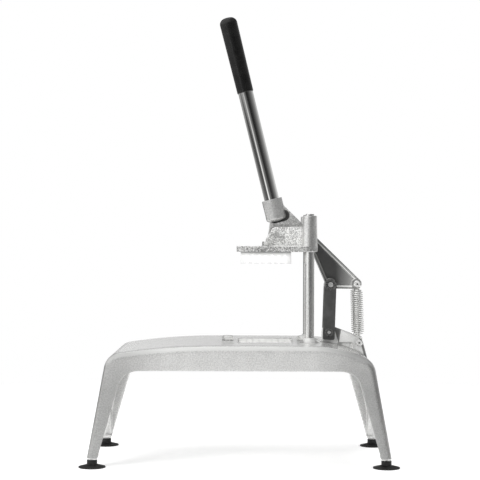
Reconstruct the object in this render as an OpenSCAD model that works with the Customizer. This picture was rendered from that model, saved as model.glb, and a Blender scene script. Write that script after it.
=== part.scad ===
// Lever-operated french fry cutter: a cast arched base on four suction feet, two upright guide rods,
// a pusher head that slides down them onto a blade grid, and a long lever with links and return springs.
// Millimetres. +X runs from the operator's end to the spring end, +Z is up, and the origin lies on the
// table at the centre of the four feet.

/* [Base casting] */
// Height of the base's flat top above the table
base_top_z = 172; // [160:1:190]
// Width of the base across its side walls
base_w = 228; // [210:1:250]
// Distance between the outer faces of the leg bottoms, front to rear
leg_spread = 430; // [420:1:450]
// Height of the leg bottoms above the table
leg_bottom_z = 12; // [11:0.5:16]
// Thickness of the cast walls and top
base_wall = 5.5; // [4:0.5:7]
// Radius of the long rounded edges
base_edge_r = 9; // [7.5:0.5:12]
// Radius of the long gentle slope at the front
front_slope_r = 898; // [800:1:1000]
// Steepest angle of the front slope
front_slope_deg = 8.6; // [7:0.1:10]
// Radius of the shorter slope at the rear
rear_slope_r = 178; // [165:1:190]
// Steepest angle of the rear slope
rear_slope_deg = 25; // [20:1:28]
// Radius where each slope turns into the legs
corner_r = 25; // [20:1:30]
// Outward lean of the legs' outer faces
leg_rake_deg = 10.5; // [9:0.1:12]
// Outward lean of the legs' inner edges, seen from the side
leg_inner_rake_deg = 15.8; // [14:0.1:17]
// Depth of the side walls under the flat top
skirt_depth = 35.5; // [32:0.5:40]
// Depth of the end walls under the flat top
end_skirt_depth = 48; // [42:1:54]
// Radius in the corners of the side arches
arch_r = 30; // [20:1:36]
// Radius in the corners of the end arches
end_arch_r = 26; // [18:1:32]
// Lean of the legs' inner edges, seen from the end
end_rake_deg = 7; // [5:0.5:9]
// Length of each leg bottom, front to rear
foot_len = 15; // [14:0.5:18]
// Width of each leg bottom, side to side
foot_w = 20; // [18:0.5:24]
// Thickness of the floor that closes each leg
foot_floor_t = 5; // [4:0.5:8]
// Diameter of the boss in each leg that takes the foot's stud
foot_boss_d = 14.4; // [13:0.1:16]
// Height of those bosses, up to where the sloping leg swallows them
foot_boss_h = 52; // [50:1:60]

/* [Feet] */
// Diameter of the suction cup's rim
cup_d = 38; // [32:1:42]
// Thickness of the cup's rim
cup_rim_t = 1.4; // [1:0.1:2]
// Height of the cup's cone
cup_cone_h = 4.6; // [4:0.1:6]
// Depth of the hollow under the cup
cup_hollow_h = 2.2; // [1.5:0.1:2.6]
// Diameter of the cup's neck
cup_neck_d = 14.6; // [13:0.1:16]
// Diameter of the stud that holds the foot
foot_stud_d = 6; // [5:0.1:7]
// Thickness of the washer above the cup
foot_washer_t = 1.2; // [0.8:0.1:1.6]

/* [Guide rods] */
// Diameter of the guide rods
rod_d = 12.7; // [11:0.1:13.5]
// Distance between the two rod axes
rod_span = 74; // [72:0.5:80]
// Distance of the rods behind the centre of the feet
rod_x = 102; // [98:0.5:105]
// How far the rods stand proud of the sleeves
rod_proud = 2.5; // [1:0.1:4]
// Depth of the rods' seats in the base
rod_seat_h = 22; // [18:0.5:28]
// Diameter of the screw that holds each rod from below
rod_screw_d = 6; // [5:0.1:7]
// Height of the flared seat round each rod's foot
flare_h = 7; // [5:0.1:8]

/* [Blade grid] */
// Width of one fry, from blade to blade
cell_pitch = 9.4; // [9.2:0.05:9.6]
// Number of fries across the grid
cells = 8; // [6:1:8]
// Thickness of a blade
blade_t = 0.5; // [0.4:0.05:0.7]
// Height of a blade
blade_h = 6; // [5:0.1:7]
// Distance of the grid's centre behind the centre of the feet
grid_x = 37.8; // [36:0.1:40]
// Space between the grid and the edge of the hole in the base, front and rear
window_end = 2.15; // [2:0.05:2.8]
// Space between the grid and the edge of the hole in the base, at the sides
window_side = 4.4; // [3.6:0.1:5.6]
// Thickness of the blade frame's lower flange
frame_flange_t = 7; // [5:0.5:9]
// Width of the blade frame's lower flange beyond the hole
frame_flange_w = 6; // [5:0.5:7]
// Distance from the grid's centre to each stud of the blade frame
frame_stud_x = 55.6; // [55:0.1:57]
// Diameter of the blade frame's studs
frame_stud_d = 9.5; // [8:0.1:10]
// Width across the flats of the nuts on those studs
frame_nut_af = 14.3; // [13:0.1:15]
// Height of those nuts
frame_nut_h = 7.3; // [6:0.1:7.8]

/* [Pusher head] */
// Height of the head plate's underside at rest
head_z = 304; // [296:1:312]
// Thickness of the head plate
plate_t = 8.2; // [7:0.1:9]
// Distance of the plate's front edge in front of the grid's centre
plate_front = 42.8; // [41:0.1:46]
// Width of the head plate
plate_w = 86; // [84:0.5:92]
// Radius of the plate's front corners
plate_corner_r = 11; // [6:0.5:14]
// Height of the guide sleeves
sleeve_h = 52.7; // [46:0.1:56]
// Wall of the sleeves round the bushes
sleeve_wall = 2; // [1.8:0.1:2.6]
// Draft of the sleeves: how much thicker the wall is at the foot
sleeve_draft = 1.3; // [0.2:0.1:1.6]
// Wall of the guide bushes
bush_wall = 1.6; // [1.2:0.1:2]
// Thickness of the two pivot lugs
lug_t = 6.2; // [5:0.1:7]
// Height of the lugs above the plate
lug_h = 28.4; // [27:0.1:30]
// Height of the lever pivot above the plate
head_pivot_h = 16.8; // [16:0.1:17.5]
// Distance of the lever pivot in front of the rods
head_pivot_back = 48; // [46:0.5:50]
// Distance of the lugs' front edge in front of the lever pivot
lug_front = 16; // [14:0.5:17]
// Distance from the lever pivot to where the lugs flare out to the sleeves
flare_start = 13; // [11:0.5:16]
// Diameter of the lever's pivot pin
head_pin_d = 8; // [7:0.1:9]

/* [Pusher block] */
// Thickness of the white block's flange
block_flange_t = 4.8; // [4:0.1:6]
// Length of its prongs
prong_h = 12.5; // [10:0.1:14]
// Gap between neighbouring prongs
prong_gap = 1.4; // [1.2:0.05:1.8]
// Diameter of the two studs that hold the block
block_stud_d = 5; // [4:0.1:6]
// Distance of those studs from the middle
block_stud_y = 25; // [23:0.5:28]
// Width across the flats of their nuts
block_nut_af = 8; // [7:0.1:9]
// Height of their nuts
block_nut_h = 5.6; // [4:0.1:7]

/* [Lever] */
// Thickness of the lever across its bosses and rim
lever_t = 16; // [14:0.5:17]
// Thickness of the recessed web between the rims
lever_web_t = 7; // [5:0.5:9]
// Width of the raised rim's flat edge
lever_rim_w = 2.4; // [2:0.1:3]
// Width of the slope from the rim down to the web
lever_slope_w = 2.6; // [1.5:0.1:3.5]
// Radius of the boss at the head pivot
lever_boss_r = 12; // [11:0.1:12.5]
// Radius of the boss at the links
lever_link_boss_r = 9; // [8.5:0.1:10]
// Radius of the arm's edge under the links' boss
lever_edge_r = 6; // [5:0.1:7]
// Radius of the lever's rounded tail
lever_tail_r = 7.6; // [7:0.1:8.5]
// Distance of the tail's spring hole behind the link pivot
tail_x = 38.7; // [37:0.1:40]
// Height of the spring hole above the link pivot
tail_z = 1.2; // [0:0.1:3]
// Outside diameter of the handle socket
socket_d = 30; // [28:0.5:32]
// Length of the handle socket
socket_l = 34.1; // [32:0.1:37]
// Height of the socket's domed foot
socket_dome_h = 5.5; // [4:0.1:6.5]
// Height of the socket's foot above the head pivot
socket_foot_h = 19.2; // [18:0.1:21]
// Lean of the handle towards the operator
handle_lean_deg = 14; // [12:0.5:16]

/* [Handle] */
// Diameter of the handle tube
tube_d = 22.2; // [20:0.1:23]
// Wall of the handle tube
tube_wall = 1.6; // [1.2:0.1:2.5]
// Length of bare tube between the socket and the grip
tube_bare_l = 163.5; // [140:0.5:180]
// Depth of the tube in the socket
tube_seat_l = 27; // [22:0.5:27.5]
// Length of the grip
grip_l = 114; // [100:1:130]
// Wall of the grip at its mouth
grip_mouth_wall = 1; // [0.8:0.1:1.5]
// Wall of the grip near its end
grip_end_wall = 2; // [1.6:0.1:3]
// Thickness of the grip's closed end
grip_cap_t = 4; // [3:0.5:6]

/* [Links] */
// Distance between the pivots of a link
link_l = 70.4; // [69:0.1:72]
// Width of a link
link_w = 17.4; // [17.2:0.1:19]
// Thickness of a link
link_t = 4.8; // [4:0.1:5.5]
// Lean of the links at rest
link_lean_deg = 1.8; // [1:0.1:2.5]
// Distance of the links' lower pivot behind the rods
link_foot_x = 29.8; // [29:0.1:31]
// Height of the links' lower pivot above the base's top
link_foot_h = 13.2; // [13:0.1:14.5]
// Length of a link below its lower pivot
link_toe = 11; // [10.5:0.1:11.2]
// Diameter of the link pins
link_pin_d = 9.5; // [8:0.1:10]
// Diameter of the washers at the links' upper pins
link_washer_d = 17; // [15:0.1:17.1]
// Diameter of the washers at the links' lower pin
foot_pin_washer_d = 12; // [11.5:0.1:13]
// Thickness of those washers
link_washer_t = 1.6; // [1:0.1:2]

/* [Return springs] */
// Wire diameter of the springs
wire_d = 2.1; // [1.8:0.05:2.4]
// Mean diameter of the springs' turns
coil_d = 14.4; // [13:0.1:15]
// Number of turns, tapered ends included
coil_turns = 22; // [18:1:23]
// Mean radius of the springs' end loops
loop_r = 4.4; // [4.35:0.05:4.7]
// Height of the first turn above the lower spring screw
coil_low_h = 11.5; // [11:0.1:12.5]
// Distance from the last turn to the upper spring screw
coil_high_h = 8.5; // [8:0.1:9.5]
// Distance of each spring from the middle
spring_y = 17; // [16.9:0.1:18]
// Distance of the lower spring screws behind the links' lower pivot
spring_foot_x = 44.2; // [43.5:0.1:45]
// Depth of the lower spring screws below the base's top
spring_foot_drop = 1.6; // [1:0.1:2.5]
// Diameter of the spring screws
spring_screw_d = 6; // [5:0.1:6.2]
// Diameter of their heads
spring_head_d = 9.4; // [8.9:0.1:10]
// Thickness of the base's lug that holds the lower spring screws
spring_lug_t = 22; // [18:0.5:22.5]

/* [Hidden] */

$fn = 72;
// Angle between the points of a rounded outline
arc_step = 7.5;
// How far cuts run past the faces that they open
overrun = 1;
// Gap between two pieces of one body that seat in each other
seat_gap = 0.05;
// Gap between a pin and the hole that turns on it
run_gap = 0.05;
// Side gap between pieces that move past each other
side_gap = 0.4;

// Slopes of the base's top: how far one runs out and down from the flat to a leg's bottom
function slope_run(r, a) =
    let (
        out_arc = r * sin(a) + corner_r * (sin(leg_turn) - sin(a)),
        down_arc = r * (1 - cos(a)) + corner_r * (cos(a) - cos(leg_turn)),
        down_leg = base_top_z - leg_bottom_z - down_arc
    )
    out_arc + down_leg * tan(leg_rake_deg);

// Base: places worked out from the driving sizes
half_w = base_w / 2;
leg_turn = 90 - leg_rake_deg;
front_run = slope_run(front_slope_r, front_slope_deg);
rear_run = slope_run(rear_slope_r, rear_slope_deg);
skirt_z = base_top_z - skirt_depth;
end_skirt_z = base_top_z - end_skirt_depth;
foot_x = (leg_spread - foot_len) / 2;
foot_y = (base_w - foot_w) / 2;
slope_points = 8;
corner_points = 12;
edge_points = 6;

// Feet
foot_stud_low = cup_hollow_h + cup_rim_t;
foot_stud_deep = 10;
foot_washer_margin = 1.2;
cup_neck_round = 0.6;
cup_seal_w = 3.2;
cup_seal_r = cup_d / 2 - cup_seal_w;

// Guide rods and their seats
rod_y = rod_span / 2;
rod_r = rod_d / 2;
rod_low_z = base_top_z - rod_seat_h;
rod_boss_r = rod_r + base_wall + seat_gap;
rod_floor_t = 3;
rod_chamfer = 0.8;
flare_top_w = 2.1;
flare_top_r = rod_r + flare_top_w;
flare_foot_r = flare_top_r + flare_h;
flare_points = 8;
rod_screw_head_af = 10;
rod_screw_head_h = 4;
rod_screw_in = 14;
rod_washer_t = 1.4;
rod_washer_margin = 1;

// Nuts
nut_chamfer = 1.1;
nut_chamfer_share = 1.7;
stud_recess = 0.4;
hex_key_share = 0.5;

// Blade grid
grid_l = cells * cell_pitch;
window_l = grid_l + 2 * window_end;
window_w = grid_l + 2 * window_side;
window_r = 4;
blade_top_gap = 0.6;
blade_top_z = base_top_z - blade_top_gap;
blade_low_z = blade_top_z - blade_h;
blade_tuck = 1.2;
notch_gap = 0.06;
frame_top_z = base_top_z - base_wall;
frame_low_z = frame_top_z - seat_gap - frame_flange_t;
frame_gap = 0.3;
ear_r = 9.5;
ear_l = frame_stud_x - window_l / 2;
keeper_t = 8;
keeper_h = 4.5;
keeper_in = 1.5;
keeper_screw_d = 4;
keeper_screw_head_d = 7;
keeper_screw_head_h = 2.4;
keeper_screw_in = 4.5;
keeper_screw_share = 0.36;
blade_places = [for (i = [1 : cells - 1]) i * cell_pitch - grid_l / 2];

// Pusher head
plate_top_z = head_z + plate_t;
sleeve_top_z = head_z + sleeve_h;
rod_top_z = sleeve_top_z + rod_proud;
bush_r = rod_r + run_gap + bush_wall;
sleeve_r = bush_r + seat_gap + sleeve_wall;
sleeve_foot_r = sleeve_r + sleeve_draft;
bush_inset = 1.2;
lug_in = lever_t / 2 + side_gap;
lug_out = lug_in + lug_t;
lug_top_r = 9;
lug_nose_r = 3;
lug_nose_drop = 8;
head_pin_proud = 0.6;
head_pin_chamfer = 0.6;
head_pin_dimple_d = 3;
head_pin_dimple = 1.2;

// Pivots, each as [x, z]
head_pivot = [rod_x - head_pivot_back, plate_top_z + head_pivot_h];
link_foot = [rod_x + link_foot_x, base_top_z + link_foot_h];
link_top = link_foot + link_l * [sin(link_lean_deg), cos(link_lean_deg)];
spring_top = link_top + [tail_x, tail_z];
spring_foot = [link_foot[0] + spring_foot_x, base_top_z - spring_foot_drop];
spring_l = norm(spring_top - spring_foot);
spring_dir = (spring_top - spring_foot) / spring_l;

// Slot in the head plate that lets the lever's arm through
plate_slot_gap = 2;
plate_slot_half = lever_t / 2 + plate_slot_gap;
plate_slot_x = head_pivot[0] + flare_start;

// Pusher block
prong_w = cell_pitch - prong_gap;
block_l = grid_l - prong_gap;
block_low_z = head_z - block_flange_t - prong_h;
block_stud_in = 3.5;
block_washer_d = 10.5;
block_washer_t = 1;

// Lever and handle
lever_bush_wall = 2;
lever_pivot_bush_r = head_pin_d / 2 + run_gap + lever_bush_wall;
link_pin_r = link_pin_d / 2;
lever_link_bush_r = link_pin_r + run_gap + lever_bush_wall;
elbow_x = 41;
elbow_z = -22;
elbow_r = 16;
handle_dir = [-sin(handle_lean_deg), cos(handle_lean_deg)];
handle_side = [cos(handle_lean_deg), sin(handle_lean_deg)];
socket_foot_x = 1.2;
socket_foot = head_pivot + [socket_foot_x, socket_foot_h];
socket_r = socket_d / 2;
dome_points = 9;
gusset_drop = 6.5;
gusset_tuck = 4;
gusset_start = socket_foot + (socket_l - gusset_drop) * handle_dir + (socket_r - gusset_tuck) * handle_side;
throat_in = 8.5;
throat_drop = 1;
hollow_r = 8.3;
hollow_up = 7;
hollow_near = -3;
hollow_far = 12;
throat_r = 3;
pocket_nose = [26, 2];
pocket_front = 8;
pocket_middle = [58, -16];
tube_r = tube_d / 2;
grip_end_round = 9;
grip_edge_round = 0.9;
set_screw_d = 6;
set_screw_proud = 0.4;

// Links and their pins
link_in = lever_t / 2 + side_gap;
link_out = link_in + link_t;
link_toe_r = 2.5;
hub_top_d = 7.5;
hub_low_d = 5;
hub_proud = 2.4;
hub_round = 0.9;
washer_chamfer = 0.4;

// Fin of the base that carries the links, and the lug behind it for the springs
fin_half = lever_t / 2;
fin_boss_r = 10;
fin_root_share = 0.72;
fin_root_z = base_top_z - skirt_depth * fin_root_share;
fin_edge_r = 3;
fin_back_x = 33.7;
fin_back_z = -5.3;
fin_heel_x = 6;
fin_shoulder_x = 3.2;
fin_shoulder_z = 1;
fin_panel_low = [12.4, -15];
fin_panel_high = [16.4, 12];
lug_boss_r = 6.2;
lug_peak = [-6.2, 8.2];
lug_peak_r = 2.4;
lug_heel = [-16.3, -24];
lug_toe = [13, -24];
lug_brow = [35.8, -19.7];
lug_brow_r = 52;
lug_bevel_x = -7.2;

// Springs
wire_r = wire_d / 2;
coil_r = coil_d / 2;
coil_pitch = (spring_l - coil_low_h - coil_high_h) / coil_turns;
cone_turns = 1.6;
rings_per_turn = 8;
tube_sides = 6;
loop_turn = 225;
loop_steps = 12;
lead_turn = 180;
lead_steps = 7;
lead_climb = coil_pitch * 2 * lead_turn / 360;
lead_start_share = 0.3;
lead_start = loop_r * lead_start_share;
spring_head_h = 3.2;
spring_screw_shoulder = spring_y + wire_r + side_gap;
screw_end_gap = 0.5;

// One slope as [distance out, height, normal out, normal up], from the flat to the top of the leg
function slope(r, a) = concat(
    [for (i = [0 : slope_points]) let (t = a * i / slope_points)
        [r * sin(t), base_top_z - r * (1 - cos(t)), sin(t), cos(t)]],
    [for (i = [1 : corner_points]) let (t = a + (leg_turn - a) * i / corner_points)
        [r * sin(a) + corner_r * (sin(t) - sin(a)),
         base_top_z - r * (1 - cos(a)) - corner_r * (cos(a) - cos(t)),
         sin(t), cos(t)]]
);

// Half of the base's side profile, moved inwards by inset and ended at low_z
function half_profile(r, a, run, inset, low_z) = concat(
    [for (p = slope(r, a)) [p[0] - inset * p[2], p[1] - inset * p[3]]],
    [[run - inset / sin(leg_turn) - (low_z - leg_bottom_z) * tan(leg_rake_deg), low_z]]
);

// The whole side profile, from the front leg over the top to the rear leg
function profile(inset, low_z) =
    let (
        front = half_profile(front_slope_r, front_slope_deg, front_run, inset, low_z),
        rear = half_profile(rear_slope_r, rear_slope_deg, rear_run, inset, low_z),
        last = len(front) - 1
    )
    concat(
        [for (i = [0 : last]) [front_run - leg_spread / 2 - front[last - i][0], front[last - i][1]]],
        [for (p = rear) [leg_spread / 2 - rear_run + p[0], p[1]]]
    );

// Stations across the base as [y, inset], with quarter rounds along both long edges
function stations(half, r, inset) = concat(
    [for (i = [0 : edge_points]) let (t = 90 - 90 * i / edge_points)
        [-half + r - r * sin(t), inset + r - r * cos(t)]],
    [for (i = [0 : edge_points]) let (t = 90 * i / edge_points)
        [half - r + r * sin(t), inset + r - r * cos(t)]]
);

// Triangles between rows of n points each, with both end rows closed
function skin_faces(n, rows) = concat(
    [[for (i = [0 : n - 1]) i]],
    [for (j = [0 : rows - 2], i = [0 : n - 1], half = [0, 1])
        let (a = j * n + i, b = j * n + (i + 1) % n)
        half == 0 ? [a, b + n, b] : [a, a + n, b + n]],
    [[for (i = [0 : n - 1]) rows * n - 1 - i]]
);

// Closed skin over the base's profile, inset from the outside on every side
module base_skin(inset, low_z) {
    rows = [for (s = stations(half_w - inset, base_edge_r - inset, inset))
        [for (p = profile(s[1], low_z)) [p[0], s[0], p[1]]]];
    polyhedron(points = [for (row = rows) each row], faces = skin_faces(len(rows[0]), len(rows)));
}

// Outlines: a closed chain of [centre, radius], counter-clockwise, joined by common tangents. A negative
// radius bends the other way and zero is a sharp corner.
function turned(v, a) = [v[0] * cos(a) - v[1] * sin(a), v[0] * sin(a) + v[1] * cos(a)];
function tangent_deg(a, b) =
    let (d = b[0] - a[0]) atan2(d[1], d[0]) - acos((a[1] - b[1]) / norm(d));
function positive_turn(a) = a - 360 * floor(a / 360);
function chain(links, inset = 0) =
    let (n = len(links), c = [for (k = links) [k[0], k[1] - inset]])
    [for (i = [0 : n - 1])
        let (
            q = c[i],
            start = tangent_deg(c[(i + n - 1) % n], q),
            swing = positive_turn(tangent_deg(q, c[(i + 1) % n]) - start),
            turn = q[1] < 0 ? swing - 360 : swing,
            steps = q[1] == 0 ? 0 : max(1, ceil(abs(turn) / arc_step))
        )
        each [for (s = [0 : steps])
            let (a = start + (steps == 0 ? 0 : turn * s / steps)) q[0] + q[1] * [cos(a), sin(a)]]
    ];

// Extrudes a shape drawn in x and z between two distances across the machine
module between(y_low, y_high) {
    translate([0, y_high, 0]) rotate([90, 0, 0]) linear_extrude(y_high - y_low) children();
}

// Cylinder across the machine at a pivot
module pin(at, r, y_low, y_high) {
    translate([at[0], y_high, at[1]]) rotate([90, 0, 0]) cylinder(r = r, h = y_high - y_low);
}

// Repeats a shape on the near and the far side
module both_sides() {
    children();
    mirror([0, 1, 0]) children();
}

// Repeats a shape at the four feet
module each_foot() {
    for (x = [-foot_x, foot_x], y = [-foot_y, foot_y]) translate([x, y, 0]) children();
}

// Flat ring or washer standing on its face
module ring(outer_r, inner_r, h) {
    difference() {
        cylinder(r = outer_r, h = h);
        translate([0, 0, -overrun]) cylinder(r = inner_r, h = h + 2 * overrun);
    }
}

// Hexagon with chamfered corners, bored unless bore_r is zero
module hex_nut(af, h, bore_r, chamfer) {
    corner = af / sqrt(3);
    difference() {
        intersection() {
            cylinder(r = corner, h = h, $fn = 6);
            union() {
                cylinder(r = corner + overrun, h = h - chamfer);
                translate([0, 0, h - chamfer])
                    cylinder(r1 = corner, r2 = corner - nut_chamfer_share * chamfer, h = chamfer);
            }
        }
        if (bore_r > 0) translate([0, 0, -overrun]) cylinder(r = bore_r, h = h + 2 * overrun);
    }
}

// Slab with rounded upright corners, centred in x and y
module rounded_slab(l, w, r, h) {
    linear_extrude(h) polygon(chain([
        [[-l / 2 + r, -w / 2 + r], r],
        [[l / 2 - r, -w / 2 + r], r],
        [[l / 2 - r, w / 2 - r], r],
        [[-l / 2 + r, w / 2 - r], r]
    ]));
}

// Shape that opens an arch between two legs, drawn in its own plane
module arch_outline(low_half, top_z, rake, r) {
    centre_z = top_z - r;
    centre_half = low_half - (centre_z - leg_bottom_z) * tan(rake) - r / cos(rake);
    floor_half = low_half + (leg_bottom_z + overrun) * tan(rake);
    polygon(chain([
        [[-floor_half, -overrun], 0],
        [[floor_half, -overrun], 0],
        [[centre_half, centre_z], r],
        [[-centre_half, centre_z], r]
    ]));
}

// Flared seat round a guide rod on the base's top, in one piece with the boss under it
module rod_seat() {
    low = rod_low_z - rod_floor_t - base_top_z;
    translate([rod_x, rod_y, base_top_z]) rotate_extrude() polygon(concat(
        [[0, low], [rod_boss_r, low], [rod_boss_r, -base_wall / 2], [flare_foot_r, -base_wall / 2]],
        [for (i = [0 : flare_points]) let (t = 90 * i / flare_points)
            [flare_foot_r - flare_h * sin(t), flare_h * (1 - cos(t))]],
        [[0, flare_h]]
    ));
}

// Fin along the middle of the base's rear, with the links' boss at its front
function fin_chain() = [
    [[link_foot[0] - fin_boss_r, fin_root_z], 0],
    [[spring_foot[0] + fin_heel_x, fin_root_z], 0],
    [spring_foot + [fin_shoulder_x, fin_shoulder_z], fin_edge_r],
    [link_foot + [fin_back_x, fin_back_z], fin_edge_r],
    [link_foot, fin_boss_r]
];

// Lug like a shark's fin at the rear, with the spring screws near its top
function lug_chain() = [
    [spring_foot + lug_heel, 0],
    [spring_foot + lug_toe, 0],
    [spring_foot, lug_boss_r],
    [spring_foot + lug_peak, lug_peak_r],
    [spring_foot + lug_brow, lug_brow_r]
];

// The lug in plan: bevelled on both sides where it rises from the fin
module lug_plan() {
    bevel_x = spring_foot[0] + lug_bevel_x;
    half = spring_lug_t / 2;
    edge = half - fin_half;
    polygon([
        [bevel_x - 2 * edge, -fin_half],
        [bevel_x, -half],
        [bevel_x + spring_foot_x, -half],
        [bevel_x + spring_foot_x, half],
        [bevel_x, half],
        [bevel_x - 2 * edge, fin_half]
    ]);
}

// The rear of the fin, as thick as the lug, which leaves the links room in front of it
module fin_panel() intersection() {
    polygon(chain(fin_chain()));
    polygon([
        link_foot + fin_panel_low,
        [spring_foot[0], link_foot[1] + fin_panel_low[1]],
        [spring_foot[0], link_foot[1] + fin_panel_high[1]],
        link_foot + fin_panel_high
    ]);
}

module base_frame() color("lightgray") difference() {
    union() {
        difference() {
            base_skin(0, leg_bottom_z);
            difference() {
                base_skin(base_wall, leg_bottom_z + foot_floor_t);
                each_foot() translate([0, 0, leg_bottom_z]) cylinder(r = foot_boss_d / 2, h = foot_boss_h);
            }
        }
        both_sides() rod_seat();
        between(-fin_half, fin_half) polygon(chain(fin_chain()));
        between(-spring_lug_t / 2, spring_lug_t / 2) fin_panel();
        intersection() {
            between(-spring_lug_t / 2, spring_lug_t / 2) polygon(chain(lug_chain()));
            linear_extrude(spring_top[1]) lug_plan();
        }
    }
    between(-base_w, base_w) arch_outline(leg_spread / 2 - foot_len, skirt_z, leg_inner_rake_deg, arch_r);
    rotate([0, 0, 90]) between(-leg_spread, leg_spread)
        arch_outline(half_w - foot_w, end_skirt_z, end_rake_deg, end_arch_r);
    translate([grid_x, 0, frame_top_z - overrun])
        rounded_slab(window_l, window_w, window_r, base_wall + 2 * overrun);
    for (side = [-1, 1]) translate([grid_x + side * frame_stud_x, 0, frame_top_z - overrun])
        cylinder(r = frame_stud_d / 2 + seat_gap, h = base_wall + 2 * overrun);
    both_sides() translate([rod_x, rod_y, 0]) {
        translate([0, 0, rod_low_z]) cylinder(r = rod_r + seat_gap, h = rod_seat_h + flare_h + overrun);
        translate([0, 0, rod_low_z - rod_floor_t - overrun])
            cylinder(r = rod_screw_d / 2 + seat_gap, h = rod_floor_t + 2 * overrun);
    }
    pin(link_foot, link_pin_r + seat_gap, -fin_half - overrun, fin_half + overrun);
    pin(spring_foot, spring_screw_d / 2 + seat_gap, -spring_lug_t / 2 - overrun, spring_lug_t / 2 + overrun);
    each_foot() translate([0, 0, leg_bottom_z - overrun])
        cylinder(r = foot_stud_d / 2 + seat_gap, h = foot_stud_deep + 2 * overrun);
}

// Suction cup: a shallow rubber cone with a neck, hollow underneath
module foot_cup() color("dimgray") difference() {
    rotate_extrude() polygon([
        [0, 0],
        [cup_d / 2, 0],
        [cup_d / 2, cup_rim_t],
        [cup_neck_d / 2, cup_cone_h],
        [cup_neck_d / 2, leg_bottom_z - foot_washer_t - cup_neck_round],
        [cup_neck_d / 2 - cup_neck_round, leg_bottom_z - foot_washer_t],
        [0, leg_bottom_z - foot_washer_t]
    ]);
    translate([0, 0, -overrun])
        cylinder(r1 = cup_seal_r + overrun, r2 = cup_neck_d / 2, h = cup_hollow_h + overrun);
    translate([0, 0, foot_stud_low])
        cylinder(r = foot_stud_d / 2 + seat_gap, h = leg_bottom_z);
}

module foot_cup_front_near() translate([-foot_x, -foot_y, 0]) foot_cup();
module foot_cup_front_far() translate([-foot_x, foot_y, 0]) foot_cup();
module foot_cup_rear_near() translate([foot_x, -foot_y, 0]) foot_cup();
module foot_cup_rear_far() translate([foot_x, foot_y, 0]) foot_cup();

module foot_studs() color("silver") each_foot() translate([0, 0, foot_stud_low])
    cylinder(r = foot_stud_d / 2, h = leg_bottom_z - foot_stud_low + foot_stud_deep);

module foot_washers() color("silver") each_foot() translate([0, 0, leg_bottom_z - foot_washer_t])
    ring(cup_neck_d / 2 - foot_washer_margin, foot_stud_d / 2 + seat_gap, foot_washer_t);

// Polished rod with chamfered ends, tapped from below for its screw
module guide_rod() color("gainsboro") difference() {
    translate([rod_x, 0, rod_low_z]) rotate_extrude() polygon([
        [0, 0],
        [rod_r, 0],
        [rod_r, rod_top_z - rod_low_z - rod_chamfer],
        [rod_r - rod_chamfer, rod_top_z - rod_low_z],
        [0, rod_top_z - rod_low_z]
    ]);
    translate([rod_x, 0, rod_low_z - overrun])
        cylinder(r = rod_screw_d / 2 + seat_gap, h = rod_screw_in + overrun);
}

module guide_rod_near() translate([0, -rod_y, 0]) guide_rod();
module guide_rod_far() translate([0, rod_y, 0]) guide_rod();

module rod_screw_washers() color("silver") both_sides()
    translate([rod_x, rod_y, rod_low_z - rod_floor_t - rod_washer_t])
        ring(rod_r + rod_washer_margin, rod_screw_d / 2 + seat_gap, rod_washer_t);

module rod_screws() color("silver") both_sides()
    translate([rod_x, rod_y, rod_low_z - rod_floor_t - rod_washer_t]) {
        mirror([0, 0, 1]) hex_nut(rod_screw_head_af, rod_screw_head_h, 0, nut_chamfer);
        cylinder(r = rod_screw_d / 2, h = rod_floor_t + rod_washer_t + rod_screw_in - overrun);
    }

// Frame that hangs under the base's top and carries the blades in a collar that fills the window
module blade_frame() color("silver") translate([grid_x, 0, 0]) difference() {
    union() {
        translate([0, 0, frame_low_z])
            rounded_slab(window_l + 2 * frame_flange_w, window_w + 2 * frame_flange_w, window_r, frame_flange_t);
        translate([0, 0, frame_low_z]) rounded_slab(
            window_l - 2 * frame_gap, window_w - 2 * frame_gap, window_r - frame_gap,
            blade_top_z - frame_low_z);
        for (side = [-1, 1]) {
            translate([side * frame_stud_x, 0, frame_low_z]) cylinder(r = ear_r, h = frame_flange_t);
            translate([side * (frame_stud_x - ear_l / 2), 0, frame_low_z + frame_flange_t / 2])
                cube([ear_l, 2 * ear_r, frame_flange_t], center = true);
        }
    }
    translate([-grid_l / 2, -grid_l / 2, frame_low_z - overrun])
        cube([grid_l, grid_l, base_wall + frame_flange_t + 2 * overrun]);
    for (side = [-1, 1]) translate([side * frame_stud_x, 0, frame_low_z - overrun])
        cylinder(r = frame_stud_d / 2 + seat_gap, h = frame_flange_t + 2 * overrun);
    for (i = blade_places) {
        translate([-grid_l / 2 - blade_tuck, i - blade_t / 2 - notch_gap, blade_low_z])
            cube([grid_l + 2 * blade_tuck, blade_t + 2 * notch_gap, blade_h + overrun]);
        translate([i - blade_t / 2 - notch_gap, -grid_l / 2 - blade_tuck, blade_low_z])
            cube([blade_t + 2 * notch_gap, grid_l + 2 * blade_tuck, blade_h + overrun]);
    }
    both_sides() for (side = [-1, 1])
        translate([side * grid_l * keeper_screw_share, window_w / 2 + keeper_in, frame_low_z - overrun])
            cylinder(r = keeper_screw_d / 2 + seat_gap, h = keeper_screw_in + overrun);
}

// Strip blade along x with half-height notches, open at the top or at the bottom
module blade_strip(notch_at_top) {
    notch_low = notch_at_top ? blade_h / 2 - notch_gap : -overrun;
    difference() {
        translate([-grid_l / 2 - blade_tuck + notch_gap, -blade_t / 2, 0])
            cube([grid_l + 2 * blade_tuck - 2 * notch_gap, blade_t, blade_h]);
        for (i = blade_places) translate([i - blade_t / 2 - notch_gap, -blade_t, notch_low])
            cube([blade_t + 2 * notch_gap, 2 * blade_t, blade_h / 2 + notch_gap + overrun]);
    }
}

module blades_lengthwise() color("whitesmoke")
    for (y = blade_places) translate([grid_x, y, blade_low_z]) blade_strip(true);

module blades_crosswise() color("whitesmoke")
    for (x = blade_places) translate([grid_x + x, 0, blade_low_z]) rotate([0, 0, 90]) blade_strip(false);

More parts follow.
